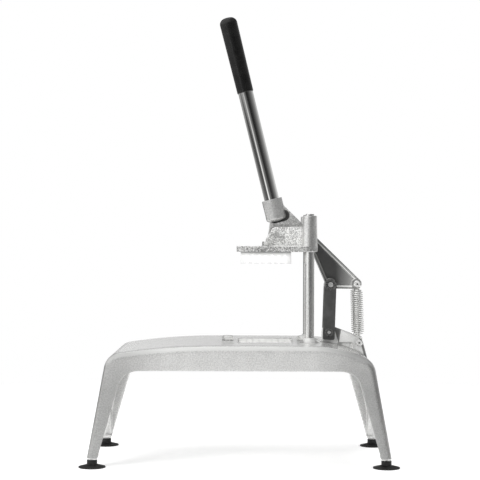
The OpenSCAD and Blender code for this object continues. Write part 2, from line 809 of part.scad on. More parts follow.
// Two bars under the frame's long sides that stiffen it, each with two screws
module blade_keeper_bars() color("silver") translate([grid_x, 0, frame_low_z - keeper_h]) both_sides()
    difference() {
        translate([-window_l / 2, window_w / 2 + keeper_in - keeper_t / 2, 0])
            cube([window_l, keeper_t, keeper_h]);
        for (side = [-1, 1]) translate([side * grid_l * keeper_screw_share, window_w / 2 + keeper_in, -overrun])
            cylinder(r = keeper_screw_d / 2 + seat_gap, h = keeper_h + 2 * overrun);
    }

module blade_keeper_screws() color("silver") translate([grid_x, 0, frame_low_z - keeper_h])
    both_sides() for (side = [-1, 1])
        translate([side * grid_l * keeper_screw_share, window_w / 2 + keeper_in, 0]) difference() {
            union() {
                translate([0, 0, -keeper_screw_head_h])
                    cylinder(r = keeper_screw_head_d / 2, h = keeper_screw_head_h);
                cylinder(r = keeper_screw_d / 2, h = keeper_h + keeper_screw_in - overrun);
            }
            translate([0, 0, -keeper_screw_head_h - overrun])
                cylinder(r = keeper_screw_d * hex_key_share, h = keeper_screw_head_h, $fn = 6);
        }

module blade_frame_studs() color("silver") for (side = [-1, 1])
    translate([grid_x + side * frame_stud_x, 0, frame_low_z])
        cylinder(r = frame_stud_d / 2, h = base_top_z + frame_nut_h - stud_recess - frame_low_z);

module blade_frame_nuts() color("silver") for (side = [-1, 1])
    translate([grid_x + side * frame_stud_x, 0, base_top_z])
        hex_nut(frame_nut_af, frame_nut_h, frame_stud_d / 2 + seat_gap, nut_chamfer);

// Side outline of the lugs, from the slanted front to the sleeves
function lug_side_chain() = [
    [[head_pivot[0] - lug_front, plate_top_z - overrun], 0],
    [[rod_x, plate_top_z - overrun], 0],
    [[rod_x, plate_top_z + lug_h], 0],
    [head_pivot + [0, lug_h - head_pivot_h - lug_top_r], lug_top_r],
    [head_pivot + [lug_nose_r - lug_front, -lug_nose_drop], lug_nose_r]
];

// Plan of the flared wall from the end of the straight lug to the sleeve's centre
module flared_wall() {
    start = [head_pivot[0] + flare_start, lug_in + lug_t / 2];
    end = [rod_x, rod_y];
    side = turned((end - start) / norm(end - start), 90) * lug_t / 2;
    polygon([start - side, end - side, end + side, start + side]);
    translate(start) circle(r = lug_t / 2);
}

module head_wall() intersection() {
    between(-plate_w, plate_w) polygon(chain(lug_side_chain()));
    translate([0, 0, plate_top_z - overrun]) linear_extrude(lug_h + 2 * overrun) {
        translate([head_pivot[0] - lug_front, lug_in]) square([lug_front + flare_start, lug_t]);
        flared_wall();
    }
}

// Plate of the head in plan, round the sleeves at the rear
function plate_chain() = [
    [[grid_x - plate_front + plate_corner_r, -plate_w / 2 + plate_corner_r], plate_corner_r],
    [[rod_x, -rod_y], sleeve_foot_r],
    [[rod_x, rod_y], sleeve_foot_r],
    [[grid_x - plate_front + plate_corner_r, plate_w / 2 - plate_corner_r], plate_corner_r]
];

module pusher_head() color("silver") difference() {
    union() {
        translate([0, 0, head_z]) linear_extrude(plate_t) polygon(chain(plate_chain()));
        both_sides() {
            translate([rod_x, rod_y, head_z]) cylinder(r1 = sleeve_foot_r, r2 = sleeve_r, h = sleeve_h);
            head_wall();
        }
    }
    translate([plate_slot_x, -plate_slot_half, head_z - overrun])
        cube([rod_x, 2 * plate_slot_half, plate_t + overrun]);
    translate([plate_slot_x, 0, head_z - overrun])
        cylinder(r = plate_slot_half, h = plate_t + overrun);
    both_sides() translate([rod_x, rod_y, head_z - overrun])
        cylinder(r = bush_r + seat_gap, h = sleeve_h + 2 * overrun);
    pin(head_pivot, head_pin_d / 2 + seat_gap, -lug_out - overrun, lug_out + overrun);
    both_sides() translate([grid_x, block_stud_y, head_z - overrun])
        cylinder(r = block_stud_d / 2 + seat_gap, h = plate_t + 2 * overrun);
}

module guide_bush() color("darkkhaki") translate([rod_x, 0, head_z + bush_inset])
    ring(bush_r, rod_r + run_gap, sleeve_h - 2 * bush_inset);

module guide_bush_near() translate([0, -rod_y, 0]) guide_bush();
module guide_bush_far() translate([0, rod_y, 0]) guide_bush();

// White block: a flange with a square prong for every fry
module pusher_block() color("white") difference() {
    translate([grid_x, 0, block_low_z]) union() {
        translate([-block_l / 2, -block_l / 2, prong_h]) cube([block_l, block_l, block_flange_t]);
        for (i = [0 : cells - 1], j = [0 : cells - 1])
            translate([i * cell_pitch - block_l / 2, j * cell_pitch - block_l / 2, 0])
                cube([prong_w, prong_w, prong_h + block_flange_t]);
    }
    both_sides() translate([grid_x, block_stud_y, head_z - block_stud_in])
        cylinder(r = block_stud_d / 2 + seat_gap, h = block_flange_t);
}

module pusher_block_studs() color("silver") both_sides()
    translate([grid_x, block_stud_y, head_z - block_stud_in])
        cylinder(
            r = block_stud_d / 2,
            h = block_stud_in + plate_t + block_washer_t + block_nut_h - stud_recess);

module pusher_block_washers() color("silver") both_sides()
    translate([grid_x, block_stud_y, plate_top_z])
        ring(block_washer_d / 2, block_stud_d / 2 + seat_gap, block_washer_t);

module pusher_block_nuts() color("silver") both_sides()
    translate([grid_x, block_stud_y, plate_top_z + block_washer_t])
        hex_nut(block_nut_af, block_nut_h, block_stud_d / 2 + seat_gap, nut_chamfer / 2);

// Pivot pin through both lugs and the lever, with chamfered and centre-drilled ends
module head_pivot_pin() color("silver") {
    half = lug_out + head_pin_proud;
    r = head_pin_d / 2;
    translate([head_pivot[0], half, head_pivot[1]]) rotate([90, 0, 0]) rotate_extrude() polygon([
        [0, head_pin_dimple],
        [head_pin_dimple_d / 2, 0],
        [r - head_pin_chamfer, 0],
        [r, head_pin_chamfer],
        [r, 2 * half - head_pin_chamfer],
        [r - head_pin_chamfer, 2 * half],
        [head_pin_dimple_d / 2, 2 * half],
        [0, 2 * half - head_pin_dimple]
    ]);
}

// Side outline of the lever's arm: head boss, elbow, links' boss, tail and the gusset up to the socket
function lever_chain() = [
    [head_pivot, lever_boss_r],
    [head_pivot + [elbow_x, elbow_z - elbow_r], -elbow_r],
    [link_top, lever_edge_r],
    [spring_top, lever_tail_r],
    [gusset_start, 0],
    [socket_foot + gusset_tuck * handle_dir - throat_in * handle_side, 0],
    [socket_foot - throat_drop * handle_dir - throat_in * handle_side, throat_r]
];

// The arm's outline behind the head boss, with a nose that touches the line of the upper edge
function pocket_chain() =
    let (
        edge_deg = tangent_deg([spring_top, lever_tail_r], [gusset_start, 0]),
        nose = head_pivot + pocket_nose
    )
    [
        [nose, (spring_top - nose) * [cos(edge_deg), sin(edge_deg)] + lever_tail_r],
        [head_pivot + [elbow_x, elbow_z - elbow_r], -elbow_r],
        [link_top, lever_edge_r],
        [spring_top, lever_tail_r]
    ];

// Faces of a slab with n points round each of its two ends and one more in the middle of each
function slab_faces(n) = [for (i = [0 : n - 1]) let (j = (i + 1) % n)
    each [[2 * n, i, j], [i, j + n, j], [i, i + n, j + n], [2 * n + 1, j + n, i + n]]];

// Pocket with sloping walls in one side of the arm, from past the rim in to the web
module lever_pocket() {
    deep = lever_t / 2 - lever_web_t / 2;
    ends = [for (up = [deep + overrun, 0]) let (inset = lever_rim_w + lever_slope_w * (1 - up / deep))
        [for (p = chain(pocket_chain(), inset)) [p[0], lever_web_t / 2 + up, p[1]]]];
    middle = [for (end = ends) [head_pivot[0] + pocket_middle[0], end[0][1], head_pivot[1] + pocket_middle[1]]];
    intersection() {
        polyhedron(points = concat(ends[0], ends[1], middle), faces = slab_faces(len(ends[0])));
        translate([rod_x - pocket_front, 0, link_foot[1]]) cube([rod_x, lever_t, sleeve_top_z]);
    }
}

// Outline of the hollow milled in each side of the arm under the socket
function hollow_chain() = [for (s = [hollow_near, hollow_far])
    [socket_foot + hollow_up * handle_dir + s * handle_side, hollow_r]];

// Places a shape drawn along z on the handle's axis, a distance up from the socket's foot
module on_handle(up) {
    at = socket_foot + up * handle_dir;
    translate([at[0], 0, at[1]]) rotate([0, -handle_lean_deg, 0]) children();
}

module lever() color("darkgray") difference() {
    union() {
        difference() {
            between(-lever_t / 2, lever_t / 2) polygon(chain(lever_chain()));
            both_sides() {
                lever_pocket();
                between(lever_web_t / 2, lever_t) polygon(chain(hollow_chain()));
            }
        }
        pin(link_top, lever_link_boss_r, -lever_t / 2, lever_t / 2);
        pin(spring_top, lever_tail_r, -lever_t / 2, lever_t / 2);
        on_handle(0) rotate_extrude() polygon(concat(
            [for (i = [0 : dome_points]) let (t = 90 * i / dome_points)
                [socket_r * sin(t), socket_dome_h * (1 - cos(t))]],
            [[socket_r, socket_l], [0, socket_l]]
        ));
    }
    on_handle(socket_l - tube_seat_l) cylinder(r = tube_r + seat_gap, h = tube_seat_l + overrun);
    pin(head_pivot, lever_pivot_bush_r + seat_gap, -lever_t, lever_t);
    pin(link_top, lever_link_bush_r + seat_gap, -lever_t, lever_t);
    pin(spring_top, spring_screw_d / 2 + seat_gap, -lever_t, lever_t);
    on_handle(socket_l / 2) rotate([-90, 0, 0])
        cylinder(r = set_screw_d / 2 + seat_gap, h = socket_d);
}

module lever_pivot_bush() color("darkkhaki") translate([head_pivot[0], lever_t / 2, head_pivot[1]])
    rotate([90, 0, 0]) ring(lever_pivot_bush_r, head_pin_d / 2 + run_gap, lever_t);

module lever_link_bush() color("darkkhaki") translate([link_top[0], lever_t / 2, link_top[1]])
    rotate([90, 0, 0]) ring(lever_link_bush_r, link_pin_r + run_gap, lever_t);

module handle_tube() color("lightgray") on_handle(socket_l - tube_seat_l)
    ring(tube_r, tube_r - tube_wall, tube_seat_l + tube_bare_l + grip_l - grip_cap_t);

module handle_set_screw() color("dimgray") on_handle(socket_l / 2) rotate([-90, 0, 0])
    translate([0, 0, tube_r + seat_gap]) difference() {
        cylinder(r = set_screw_d / 2, h = socket_r - tube_r + set_screw_proud);
        translate([0, 0, overrun])
            cylinder(r = set_screw_d / 2 * hex_key_share, h = socket_r, $fn = 6);
    }

// Dipped grip: a slightly swelling sleeve with a rounded closed end
module handle_grip() color("black") on_handle(socket_l + tube_bare_l) difference() {
    mouth_r = tube_r + grip_mouth_wall;
    end_r = tube_r + grip_end_wall;
    rotate_extrude() {
        polygon([
            [0, 0],
            [mouth_r - grip_edge_round, 0],
            [mouth_r, grip_edge_round],
            [end_r, grip_l - grip_end_round],
            [end_r - grip_end_round, grip_l],
            [0, grip_l]
        ]);
        translate([end_r - grip_end_round, grip_l - grip_end_round]) intersection() {
            circle(r = grip_end_round);
            square(grip_end_round);
        }
    }
    translate([0, 0, -overrun]) cylinder(r = tube_r + seat_gap, h = grip_l - grip_cap_t + overrun);
}

// Flat link with a round top and a squarer toe, drawn about its lower pivot
module link_bar() translate([link_foot[0], 0, link_foot[1]]) rotate([0, link_lean_deg, 0]) difference() {
    side = link_w / 2 - link_toe_r;
    between(link_in, link_out) polygon(chain([
        [[-side, -link_toe + link_toe_r], link_toe_r],
        [[side, -link_toe + link_toe_r], link_toe_r],
        [[0, link_l], link_w / 2]
    ]));
    pin([0, 0], link_pin_r + run_gap, 0, link_out + overrun);
    pin([0, link_l], link_pin_r + seat_gap, 0, link_out + overrun);
}

module link_far() color("dimgray") link_bar();
module link_near() color("dimgray") mirror([0, 1, 0]) link_bar();

// Headed end of a pin: a hub with a rounded rim, from y_low outwards
module hub(at, d, y_low, h) {
    translate([at[0], y_low, at[1]]) rotate([-90, 0, 0]) rotate_extrude() {
        square([d / 2 - hub_round, h]);
        square([d / 2, h - hub_round]);
        translate([d / 2 - hub_round, h - hub_round]) intersection() {
            circle(r = hub_round);
            square(hub_round);
        }
    }
}

// The upper pins end at the links' inner faces, clear of the lever
module link_pins_upper() color("gray") both_sides() {
    pin(link_top, link_pin_r, link_in, link_out);
    hub(link_top, hub_top_d, link_out, link_washer_t + hub_proud);
}

// Washer across the machine with a chamfered rim
module side_washer(at, d, bore_r, y_low) {
    translate([at[0], y_low, at[1]]) rotate([-90, 0, 0]) rotate_extrude() polygon([
        [bore_r, 0],
        [d / 2, 0],
        [d / 2, link_washer_t - washer_chamfer],
        [d / 2 - washer_chamfer, link_washer_t],
        [bore_r, link_washer_t]
    ]);
}

module link_washers_upper() color("gray") both_sides()
    side_washer(link_top, link_washer_d, hub_top_d / 2 + seat_gap, link_out);

module link_pin_lower() color("gray") {
    pin(link_foot, link_pin_r, -link_out - side_gap, link_out + side_gap);
    both_sides() hub(link_foot, hub_low_d, link_out + side_gap, link_washer_t + hub_proud);
}

module link_washers_lower() color("gray") both_sides()
    side_washer(link_foot, foot_pin_washer_d, hub_low_d / 2 + seat_gap, link_out + side_gap);

// Shoulder screw for one spring, from y_low out to a rounded head with a key hole
module spring_screw(at, y_low) difference() {
    union() {
        pin(at, spring_screw_d / 2, y_low, spring_screw_shoulder);
        hub(at, spring_head_d, spring_screw_shoulder, spring_head_h);
    }
    translate([at[0], spring_screw_shoulder + spring_head_h * hex_key_share, at[1]]) rotate([-90, 0, 0])
        cylinder(r = spring_screw_d / 2 * hex_key_share, h = spring_head_h, $fn = 6);
}

module spring_screws_lower() color("silver") both_sides() spring_screw(spring_foot, screw_end_gap);

// The upper screws end short of the lever's faces
module spring_screws_upper() color("silver") both_sides() spring_screw(spring_top, lever_t / 2 + side_gap);

// Path of one spring in its own frame: x outwards, y across and z from the lower screw to the upper one.
// Every point comes with the direction that faces away from the turn's middle.
function loop_out(a) = [cos(a), 0, sin(a)];
function turn_out(a) = [cos(a), sin(a), 0];
function loop_point(a, z) = [loop_r * loop_out(a) + [0, 0, z], loop_out(a)];
function loop_end(side, z) =
    let (a = side * loop_turn)
    [loop_r * loop_out(a) + side * wire_d * [-sin(a), 0, cos(a)] + [0, 0, z], loop_out(a)];
function lead_height(t, h) =
    lead_start + (h - lead_start - lead_climb) * (1 - (1 - t) * (1 - t)) + lead_climb * t;
function coil_radius(q) =
    let (taper = min(q, coil_turns - q) / cone_turns)
    taper >= 1 ? coil_r : loop_r + (coil_r - loop_r) * sin(90 * taper);
function lead_point(side, t) =
    let (a = -side * lead_turn * t * t)
    [loop_r * turn_out(a) + [0, 0, side < 0
        ? lead_height(t, coil_low_h)
        : spring_l - lead_height(t, coil_high_h)], turn_out(a)];
function coil_point(q) =
    let (a = lead_turn + 360 * q)
    [coil_radius(q) * turn_out(a) + [0, 0, coil_low_h + coil_pitch * q], turn_out(a)];
coil_rings = coil_turns * rings_per_turn;
spring_path = concat(
    [loop_end(-1, 0)],
    [for (i = [0 : loop_steps]) loop_point(-loop_turn * (1 - i / loop_steps), 0)],
    [for (i = [0 : lead_steps - 1]) lead_point(-1, i / lead_steps)],
    [for (i = [0 : coil_rings]) coil_point(i / rings_per_turn)],
    [for (i = [1 : lead_steps]) lead_point(1, 1 - i / lead_steps)],
    [for (i = [0 : loop_steps]) loop_point(loop_turn * i / loop_steps, spring_l)],
    [loop_end(1, spring_l)]
);

// Least gap of the wire to itself, between points at least half a turn apart along it
spring_apart = rings_per_turn / 2;
spring_gap = min([for (i = [0 : len(spring_path) - 1 - spring_apart],
    j = [i + spring_apart : len(spring_path) - 1])
    norm(spring_path[i][0] - spring_path[j][0])]) - wire_d;
echo(spring_gap = spring_gap);

function wire_ring(i) =
    let (
        last = len(spring_path) - 1,
        step = spring_path[min(i + 1, last)][0] - spring_path[max(i - 1, 0)][0],
        along = step / norm(step),
        out = spring_path[i][1] - along * (along * spring_path[i][1]),
        u = out / norm(out),
        v = cross(along, u)
    )
    [for (s = [0 : tube_sides - 1]) let (b = 360 * s / tube_sides)
        spring_path[i][0] + wire_r * (cos(b) * u + sin(b) * v)];

// Wire as one tube, its ends closed with triangles
module spring_wire() {
    rings = len(spring_path);
    sides = skin_faces(tube_sides, rings);
    low = (rings - 1) * tube_sides;
    polyhedron(
        points = [for (i = [0 : rings - 1]) each wire_ring(i)],
        faces = concat(
            [for (s = [1 : tube_sides - 2]) [0, s, s + 1]],
            [for (k = [1 : len(sides) - 2]) sides[k]],
            [for (s = [1 : tube_sides - 2]) [low, low + s + 1, low + s]]
        )
    );
}

module return_spring() color("silver") translate([spring_foot[0], spring_y, spring_foot[1]])
    rotate([0, atan2(spring_dir[0], spring_dir[1]), 0]) spring_wire();

module return_spring_far() return_spring();
module return_spring_near() mirror([0, 1, 0]) return_spring();

base_frame();
foot_cup_front_near();
foot_cup_front_far();
foot_cup_rear_near();
foot_cup_rear_far();
foot_studs();
foot_washers();
guide_rod_near();
guide_rod_far();
rod_screws();
rod_screw_washers();
blade_frame();
blades_lengthwise();
blades_crosswise();
blade_keeper_bars();
blade_keeper_screws();
blade_frame_studs();
blade_frame_nuts();
pusher_head();
guide_bush_near();
guide_bush_far();
pusher_block();
pusher_block_studs();
pusher_block_washers();
pusher_block_nuts();
head_pivot_pin();
lever();
lever_pivot_bush();
lever_link_bush();
handle_tube();
handle_set_screw();
handle_grip();
link_near();
link_far();
link_pins_upper();
link_washers_upper();
link_pin_lower();
link_washers_lower();
spring_screws_lower();
spring_screws_upper();
return_spring_near();
return_spring_far();
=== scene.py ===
"""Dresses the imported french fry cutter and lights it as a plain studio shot.

The three castings are rounded over, the return springs are wound again in finer steps, and every
piece gets a finish made of nodes. Lengths are in metres unless a name says mm.
"""
import math

import bpy
from mathutils import Matrix, Vector


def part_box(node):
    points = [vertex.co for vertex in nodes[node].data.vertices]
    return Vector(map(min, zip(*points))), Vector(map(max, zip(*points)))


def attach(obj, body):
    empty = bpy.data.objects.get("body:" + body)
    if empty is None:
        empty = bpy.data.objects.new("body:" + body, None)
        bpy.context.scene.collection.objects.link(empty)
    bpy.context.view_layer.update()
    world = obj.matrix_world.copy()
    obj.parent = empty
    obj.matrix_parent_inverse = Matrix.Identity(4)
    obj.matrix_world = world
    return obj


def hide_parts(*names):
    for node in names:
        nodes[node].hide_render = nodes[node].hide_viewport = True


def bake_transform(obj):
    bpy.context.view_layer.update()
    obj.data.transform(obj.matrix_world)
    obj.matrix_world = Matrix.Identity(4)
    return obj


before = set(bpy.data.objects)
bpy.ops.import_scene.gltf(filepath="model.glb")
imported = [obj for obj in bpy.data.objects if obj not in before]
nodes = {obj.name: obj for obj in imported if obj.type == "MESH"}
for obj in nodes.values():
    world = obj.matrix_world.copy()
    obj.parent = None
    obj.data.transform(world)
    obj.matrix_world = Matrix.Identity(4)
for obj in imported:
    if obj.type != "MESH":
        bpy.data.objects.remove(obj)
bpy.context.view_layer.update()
scene = bpy.context.scene

MM = 0.001
# A colour mix node has sockets of the same name for each kind of value. These are the colour ones.
MIX_A = 6
MIX_B = 7
MIX_RESULT = 2


# Studio

CAMERA_PLACE = (0.0, -2.018, 0.321)
CAMERA_LENS_MM = 101.85
CAMERA_SENSOR_MM = 36.0
CAMERA_ROLL_DEG = 0.2
CAMERA_REACH = 50.0
FLOOR_RADIUS = 1.1
FLOOR_SIDES = 96
FLOOR_GREY = 0.8
FLOOR_GLOW = 0.44
AMBIENT = 0.55
# Each lamp's name, place, size and watts. None of them is seen in reflections.
LAMPS = (
    ("overhead", (0.0, 0.1, 1.9), (1.5, 1.3), 11.5),
    ("front_left", (-1.15, -1.2, 0.9), (0.8, 0.8), 17.0),
    ("front_right", (1.6, -1.4, 0.7), (1.1, 1.2), 5.0),
)
LAMP_TARGET = (0.0, 0.0, 0.2)
# What metal sees around it, in rows from low to high. A row is its height in degrees, then pairs of
# degrees round from the camera's side, right positive, and brightness.
SKY_TOP = 2.0
SKY_ROWS = (
    (-40, ((-180, 0.6), (-150, 0.6), (-110, 0.8), (-40, 0.8), (0, 0.3), (30, 0.1), (130, 0.1),
           (180, 0.6))),
    (-9, ((-180, 0.4), (-131, 0.36), (-102, 0.1), (-81, 0.03), (-60, 0.04), (-46, 0.12),
          (-39, 1.3), (-27, 1.3), (-20, 0.1), (0, 0.09), (30, 0.1), (60, 0.16), (120, 0.2),
          (180, 0.4))),
    (-4, ((-180, 0.4), (-131, 0.36), (-104, 0.8), (-66, 0.8), (-50, 0.3), (-39, 0.8), (-27, 0.6),
          (-20, 0.16), (0, 0.13), (30, 0.14), (60, 0.2), (120, 0.3), (180, 0.4))),
    (-1, ((-180, 1.0), (-165, 1.0), (-150, 0.12), (-112, 0.12), (-104, 1.2), (-66, 1.2),
          (-50, 0.35), (-20, 0.2), (0, 0.16), (30, 0.17), (60, 0.26), (90, 0.36), (120, 0.5),
          (150, 0.8), (165, 1.0), (180, 1.0))),
    (5, ((-180, 1.0), (-160, 1.0), (-145, 0.2), (-110, 0.2), (-100, 1.2), (-46, 1.2), (-30, 0.2),
         (0, 0.03), (15, 0.03), (30, 0.06), (60, 0.16), (90, 0.32), (120, 0.6), (150, 0.8),
         (165, 1.0), (180, 1.0))),
    (11, ((-180, 0.15), (-150, 0.15), (-110, 0.9), (-50, 1.1), (-25, 0.06), (0, 0.012),
          (15, 0.015), (30, 0.04), (46, 0.09), (63, 0.22), (81, 0.36), (102, 0.65), (131, 0.8),
          (150, 0.5), (165, 0.15), (180, 0.15))),
    (18, ((-180, 0.14), (-150, 0.14), (-112, 0.9), (-40, 1.0), (-20, 0.5), (0, 0.08), (30, 0.03),
          (50, 0.08), (90, 0.26), (131, 0.5), (180, 0.14))),
    (28, ((-180, 0.12), (-142, 0.12), (-115, 1.1), (-10, 1.1), (15, 0.3), (40, 0.12),
          (130, 0.15), (180, 0.12))),
    (42, ((-180, 0.12), (-142, 0.12), (-115, 1.0), (-10, 1.0), (40, 0.3), (130, 0.2),
          (180, 0.12))),
    (52, ((-180, 0.95), (-5, 0.95), (35, 0.35), (145, 0.3), (172, 0.95), (180, 0.95))),
)


# Forms that the finishes follow
#
# A pair is a soft step: the effect is nothing at its first number and full at its second. One whose
# name ends in an axis is measured along it, and one in Y or in LEG_X from the middle plane. A place
# is x and z in the side view.

# Base: walls below the deck, the legs, and the fin and lug that stand on the deck
LEG_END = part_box("base_frame")[0][2]
# A white painted highlight on the legs' lower edge
LEG_EDGE_Z = (LEG_END + 0.0018, LEG_END + 0.0013)
# Painted shade: outer faces below WALL_Z are darkened a little, and the legs beyond LEG_X more, the
# lower down LEG_Z the darker
WALL_Z = (0.176, 0.168)
LEG_X = (0.1, 0.16)
LEG_Z = (0.15, 0.11)
STANDING_Z = (0.1685, 0.1695)
LUG_X = (0.150, 0.153)
LUG_Y = (0.034, 0.031)
LUG_BEVEL_START_X = (0.158, 0.161)
LUG_BEVEL_END_X = (0.173, 0.171)
# The lug's right side gets painted shade in a band of this width inside a leaning line
LUG_SIDE_PLACE = (0.1822, 0.1704)
LUG_SIDE_LEAN = -0.283
LUG_SIDE_WIDTH = (0.0042, 0.0034)
LUG_SIDE_X = (0.172, 0.176)
# The wedge of painted shade beside the links, open upwards, lies between two leaning lines
WEDGE_LEFT_PLACE = (0.1462, 0.1694)
WEDGE_LEFT_LEAN = -0.3
WEDGE_RIGHT_PLACE = (0.1468, 0.1694)
WEDGE_RIGHT_LEAN = 0.15
WEDGE_BLUR = 0.0004
WEDGE_Z = (0.1685, 0.1705)

# Head: sleeves round the rods, with a step outwards from the rod's axis, and the plate's rim, which
# is painted dark as painted shade
ROD_X = 0.102
ROD_Y = 0.037
SLEEVE_R = 0.0119
SLEEVE_EDGE = (SLEEVE_R + 0.001, SLEEVE_R)
PLATE_TOP = 0.3122
PLATE_RIM_Z = (PLATE_TOP + 0.0002, PLATE_TOP - 0.0008)

# Lever: handle socket, and an arm with a web between sloping pocket walls and a rim
HANDLE_LEAN = math.radians(14)
SOCKET_FOOT_PLACE = (0.0552, 0.3482)
SOCKET_FOOT_STEP = (0.001, 0.003)
SOCKET_Y = (0.0082, 0.0086)
SOCKET_CLEAR_Z = (0.354, 0.358)
ARM_X = (0.098, 0.106)
TAIL_X = (0.142, 0.170)
WEB_FACE = 0.0039
WEB_Y = (WEB_FACE + 0.0004, WEB_FACE)
POCKET_WALL_Y = (0.0075, 0.0068)
RIM_Y = (0.0068, 0.0076)

# Pusher block: its flange under the plate, which gets painted shade and no glow
BLOCK_TOP = 0.304
FLANGE_Z = (BLOCK_TOP - 0.006, BLOCK_TOP - 0.001)


# Finishes

BEVEL_RAYS = 4
CREASE_RAYS = 6
# How many times coarser the clouds of a casting are than its sand
SAND_TO_CLOUDS = 7
# How much blue a grey has for each part of red and green
BLUE_SHARE = 0.985
# The streaks of a drawn bar run up its length
BAR_STRETCH = (1, 1, 40)


def grey(value):
    """A grey a shade warmer than neutral."""
    return (value, value, value * BLUE_SHARE)


def new_node(tree, kind, **settings):
    node = tree.nodes.new(kind)
    for key, value in settings.items():
        setattr(node, key, value)
    return node


class Finish:
    """A material under construction, with short calls for the nodes that the finishes share."""

    def __init__(self, name, metallic=0.0, **sockets):
        self.material = bpy.data.materials.new(name)
        self.material.use_nodes = True
        self.tree = self.material.node_tree
        self.shader = self.tree.nodes["Principled BSDF"]
        self.shader.inputs["Metallic"].default_value = metallic
        for socket, value in sockets.items():
            self.shader.inputs[socket.replace("_", " ")].default_value = value
        self.coords = self.add("ShaderNodeTexCoord")
        self.place = self.coords.outputs["Object"]
        self.normal = None

    def add(self, kind, **settings):
        return new_node(self.tree, kind, **settings)

    def feed(self, socket, value):
        """Links a socket to another node's output, or sets it to a number or a colour."""
        if isinstance(value, bpy.types.NodeSocket):
            self.tree.links.new(value, socket)
        else:
            socket.default_value = value

    def give(self, **sockets):
        """Feeds the shader's own sockets."""
        for socket, value in sockets.items():
            self.feed(self.shader.inputs[socket.replace("_", " ")], value)

    # Numbers

    def math(self, operation, first, second=0.0):
        node = self.add("ShaderNodeMath", operation=operation)
        self.feed(node.inputs[0], first)
        self.feed(node.inputs[1], second)
        return node.outputs[0]

    def times(self, first, *others):
        for other in others:
            first = self.math("MULTIPLY", first, other)
        return first

    def most(self, first, second):
        return self.math("MAXIMUM", first, second)

    def less(self, first, second):
        return self.math("SUBTRACT", first, second)

    def spread(self, value, low, high, to_low=0.0, to_high=1.0):
        """Maps low to to_low and high to to_high, and keeps to that range."""
        node = self.add("ShaderNodeMapRange")
        self.feed(node.inputs["Value"], value)
        node.inputs["From Min"].default_value = low
        node.inputs["From Max"].default_value = high
        node.inputs["To Min"].default_value = to_low
        node.inputs["To Max"].default_value = to_high
        return node.outputs["Result"]

    def over(self, mask, outside, inside):
        """A number that a mask takes from one plain value to another."""
        return self.spread(mask, 0, 1, outside, inside)

    def between(self, factor, first, second):
        """The number that lies a share of the way from first to second."""
        node = self.add("ShaderNodeMix", data_type="FLOAT")
        self.feed(node.inputs[0], factor)
        self.feed(node.inputs[2], first)
        self.feed(node.inputs[3], second)
        return node.outputs[0]

    # Places and directions, each plain or as a soft step

    def axis_of(self, vector, axis, step):
        node = self.add("ShaderNodeSeparateXYZ")
        self.feed(node.inputs[0], vector)
        value = node.outputs["xyz".index(axis)]
        return self.spread(value, *step) if step else value

    def along(self, axis, *step):
        """How far along an axis of the whole cutter."""
        return self.axis_of(self.place, axis, step)

    def across(self, axis, *step):
        """The distance from the middle plane of the whole cutter along an axis."""
        value = self.math("ABSOLUTE", self.along(axis))
        return self.spread(value, *step) if step else value

    def facing(self, axis, *step):
        """How far the surface faces up an axis, from -1 to 1."""
        return self.axis_of(self.coords.outputs["Normal"], axis, step)

    def flank(self, *step):
        """How far the surface faces left or right."""
        return self.spread(self.math("ABSOLUTE", self.facing("x")), *step)

    def leaning_line(self, place, lean):
        """The x of a line through a place, at the surface's own height. Lean is its x over z."""
        x, z = place
        return self.math("ADD", self.times(self.along("z"), lean), x - lean * z)

    def open_to_light(self, reach_mm, least, closed=0.35, free=0.95):
        """A factor for painted shade: falls from 1 to least in creases and corners, where little
        light reaches.
        """
        node = self.add("ShaderNodeAmbientOcclusion", samples=CREASE_RAYS)
        node.inputs["Distance"].default_value = reach_mm * MM
        return self.spread(node.outputs["AO"], closed, free, least, 1.0)

    # Grain

    def noise(self, grain_mm, detail=2.0, roughness=0.55, stretch=(1, 1, 1)):
        """Noise whose patches are about grain_mm across, drawn out along an axis by stretch."""
        mapping = self.add("ShaderNodeMapping")
        self.feed(mapping.inputs["Vector"], self.place)
        mapping.inputs["Scale"].default_value = [1 / (grain_mm * MM * s) for s in stretch]
        noise = self.add("ShaderNodeTexNoise")
        self.feed(noise.inputs["Vector"], mapping.outputs[0])
        noise.inputs["Scale"].default_value = 1.0
        noise.inputs["Detail"].default_value = detail
        noise.inputs["Roughness"].default_value = roughness
        return noise.outputs["Fac"]

    def mottled(self, grain_mm, share):
        """Sandy speckle, and a share of it mixed over broader clouds, both around a half."""
        sand = self.noise(grain_mm, detail=4.0, roughness=0.75)
        clouds = self.noise(grain_mm * SAND_TO_CLOUDS)
        return sand, self.math("ADD", self.times(sand, share), self.times(clouds, 1 - share))

    def sanded(self, sand, low, high):
        """A number that the sandy speckle takes from low to high."""
        return self.spread(sand, 0.3, 0.7, low, high)

    # Colour

    def blend(self, factor, first, second):
        """A colour between two, each another node's output or a plain grey."""
        node = self.add("ShaderNodeMix", data_type="RGBA")
        self.feed(node.inputs["Factor"], factor)
        for index, value in ((MIX_A, first), (MIX_B, second)):
            if isinstance(value, (int, float)):
                value = grey(value)
            if isinstance(value, tuple):
                value = (*value, 1.0)
            self.feed(node.inputs[index], value)
        return node.outputs[MIX_RESULT]

    def grained(self, value, low, high, dark, light):
        """A colour that a noise takes from dark to light."""
        return self.blend(self.spread(value, low, high), dark, light)

    def clouded(self, grain_mm, detail, dark, light):
        """Colours the shader in soft patches from dark to light."""
        clouds = self.noise(grain_mm, detail)
        color = self.grained(clouds, 0.3, 0.7, dark, light)
        self.give(Base_Color=color)
        return clouds, color

    def shade(self, color, *factors):
        """Colours the shader after painting shade into the colour, darkening it by each number from
        0 to 1.
        """
        for factor in factors:
            node = self.add("ShaderNodeVectorMath", operation="SCALE")
            self.feed(node.inputs[0], color)
            self.feed(node.inputs["Scale"], factor)
            color = node.outputs[0]
        self.give(Base_Color=color)

    # Surface

    def gloss(self, factor, low, high):
        self.give(Roughness=self.spread(factor, 0.25, 0.75, low, high))

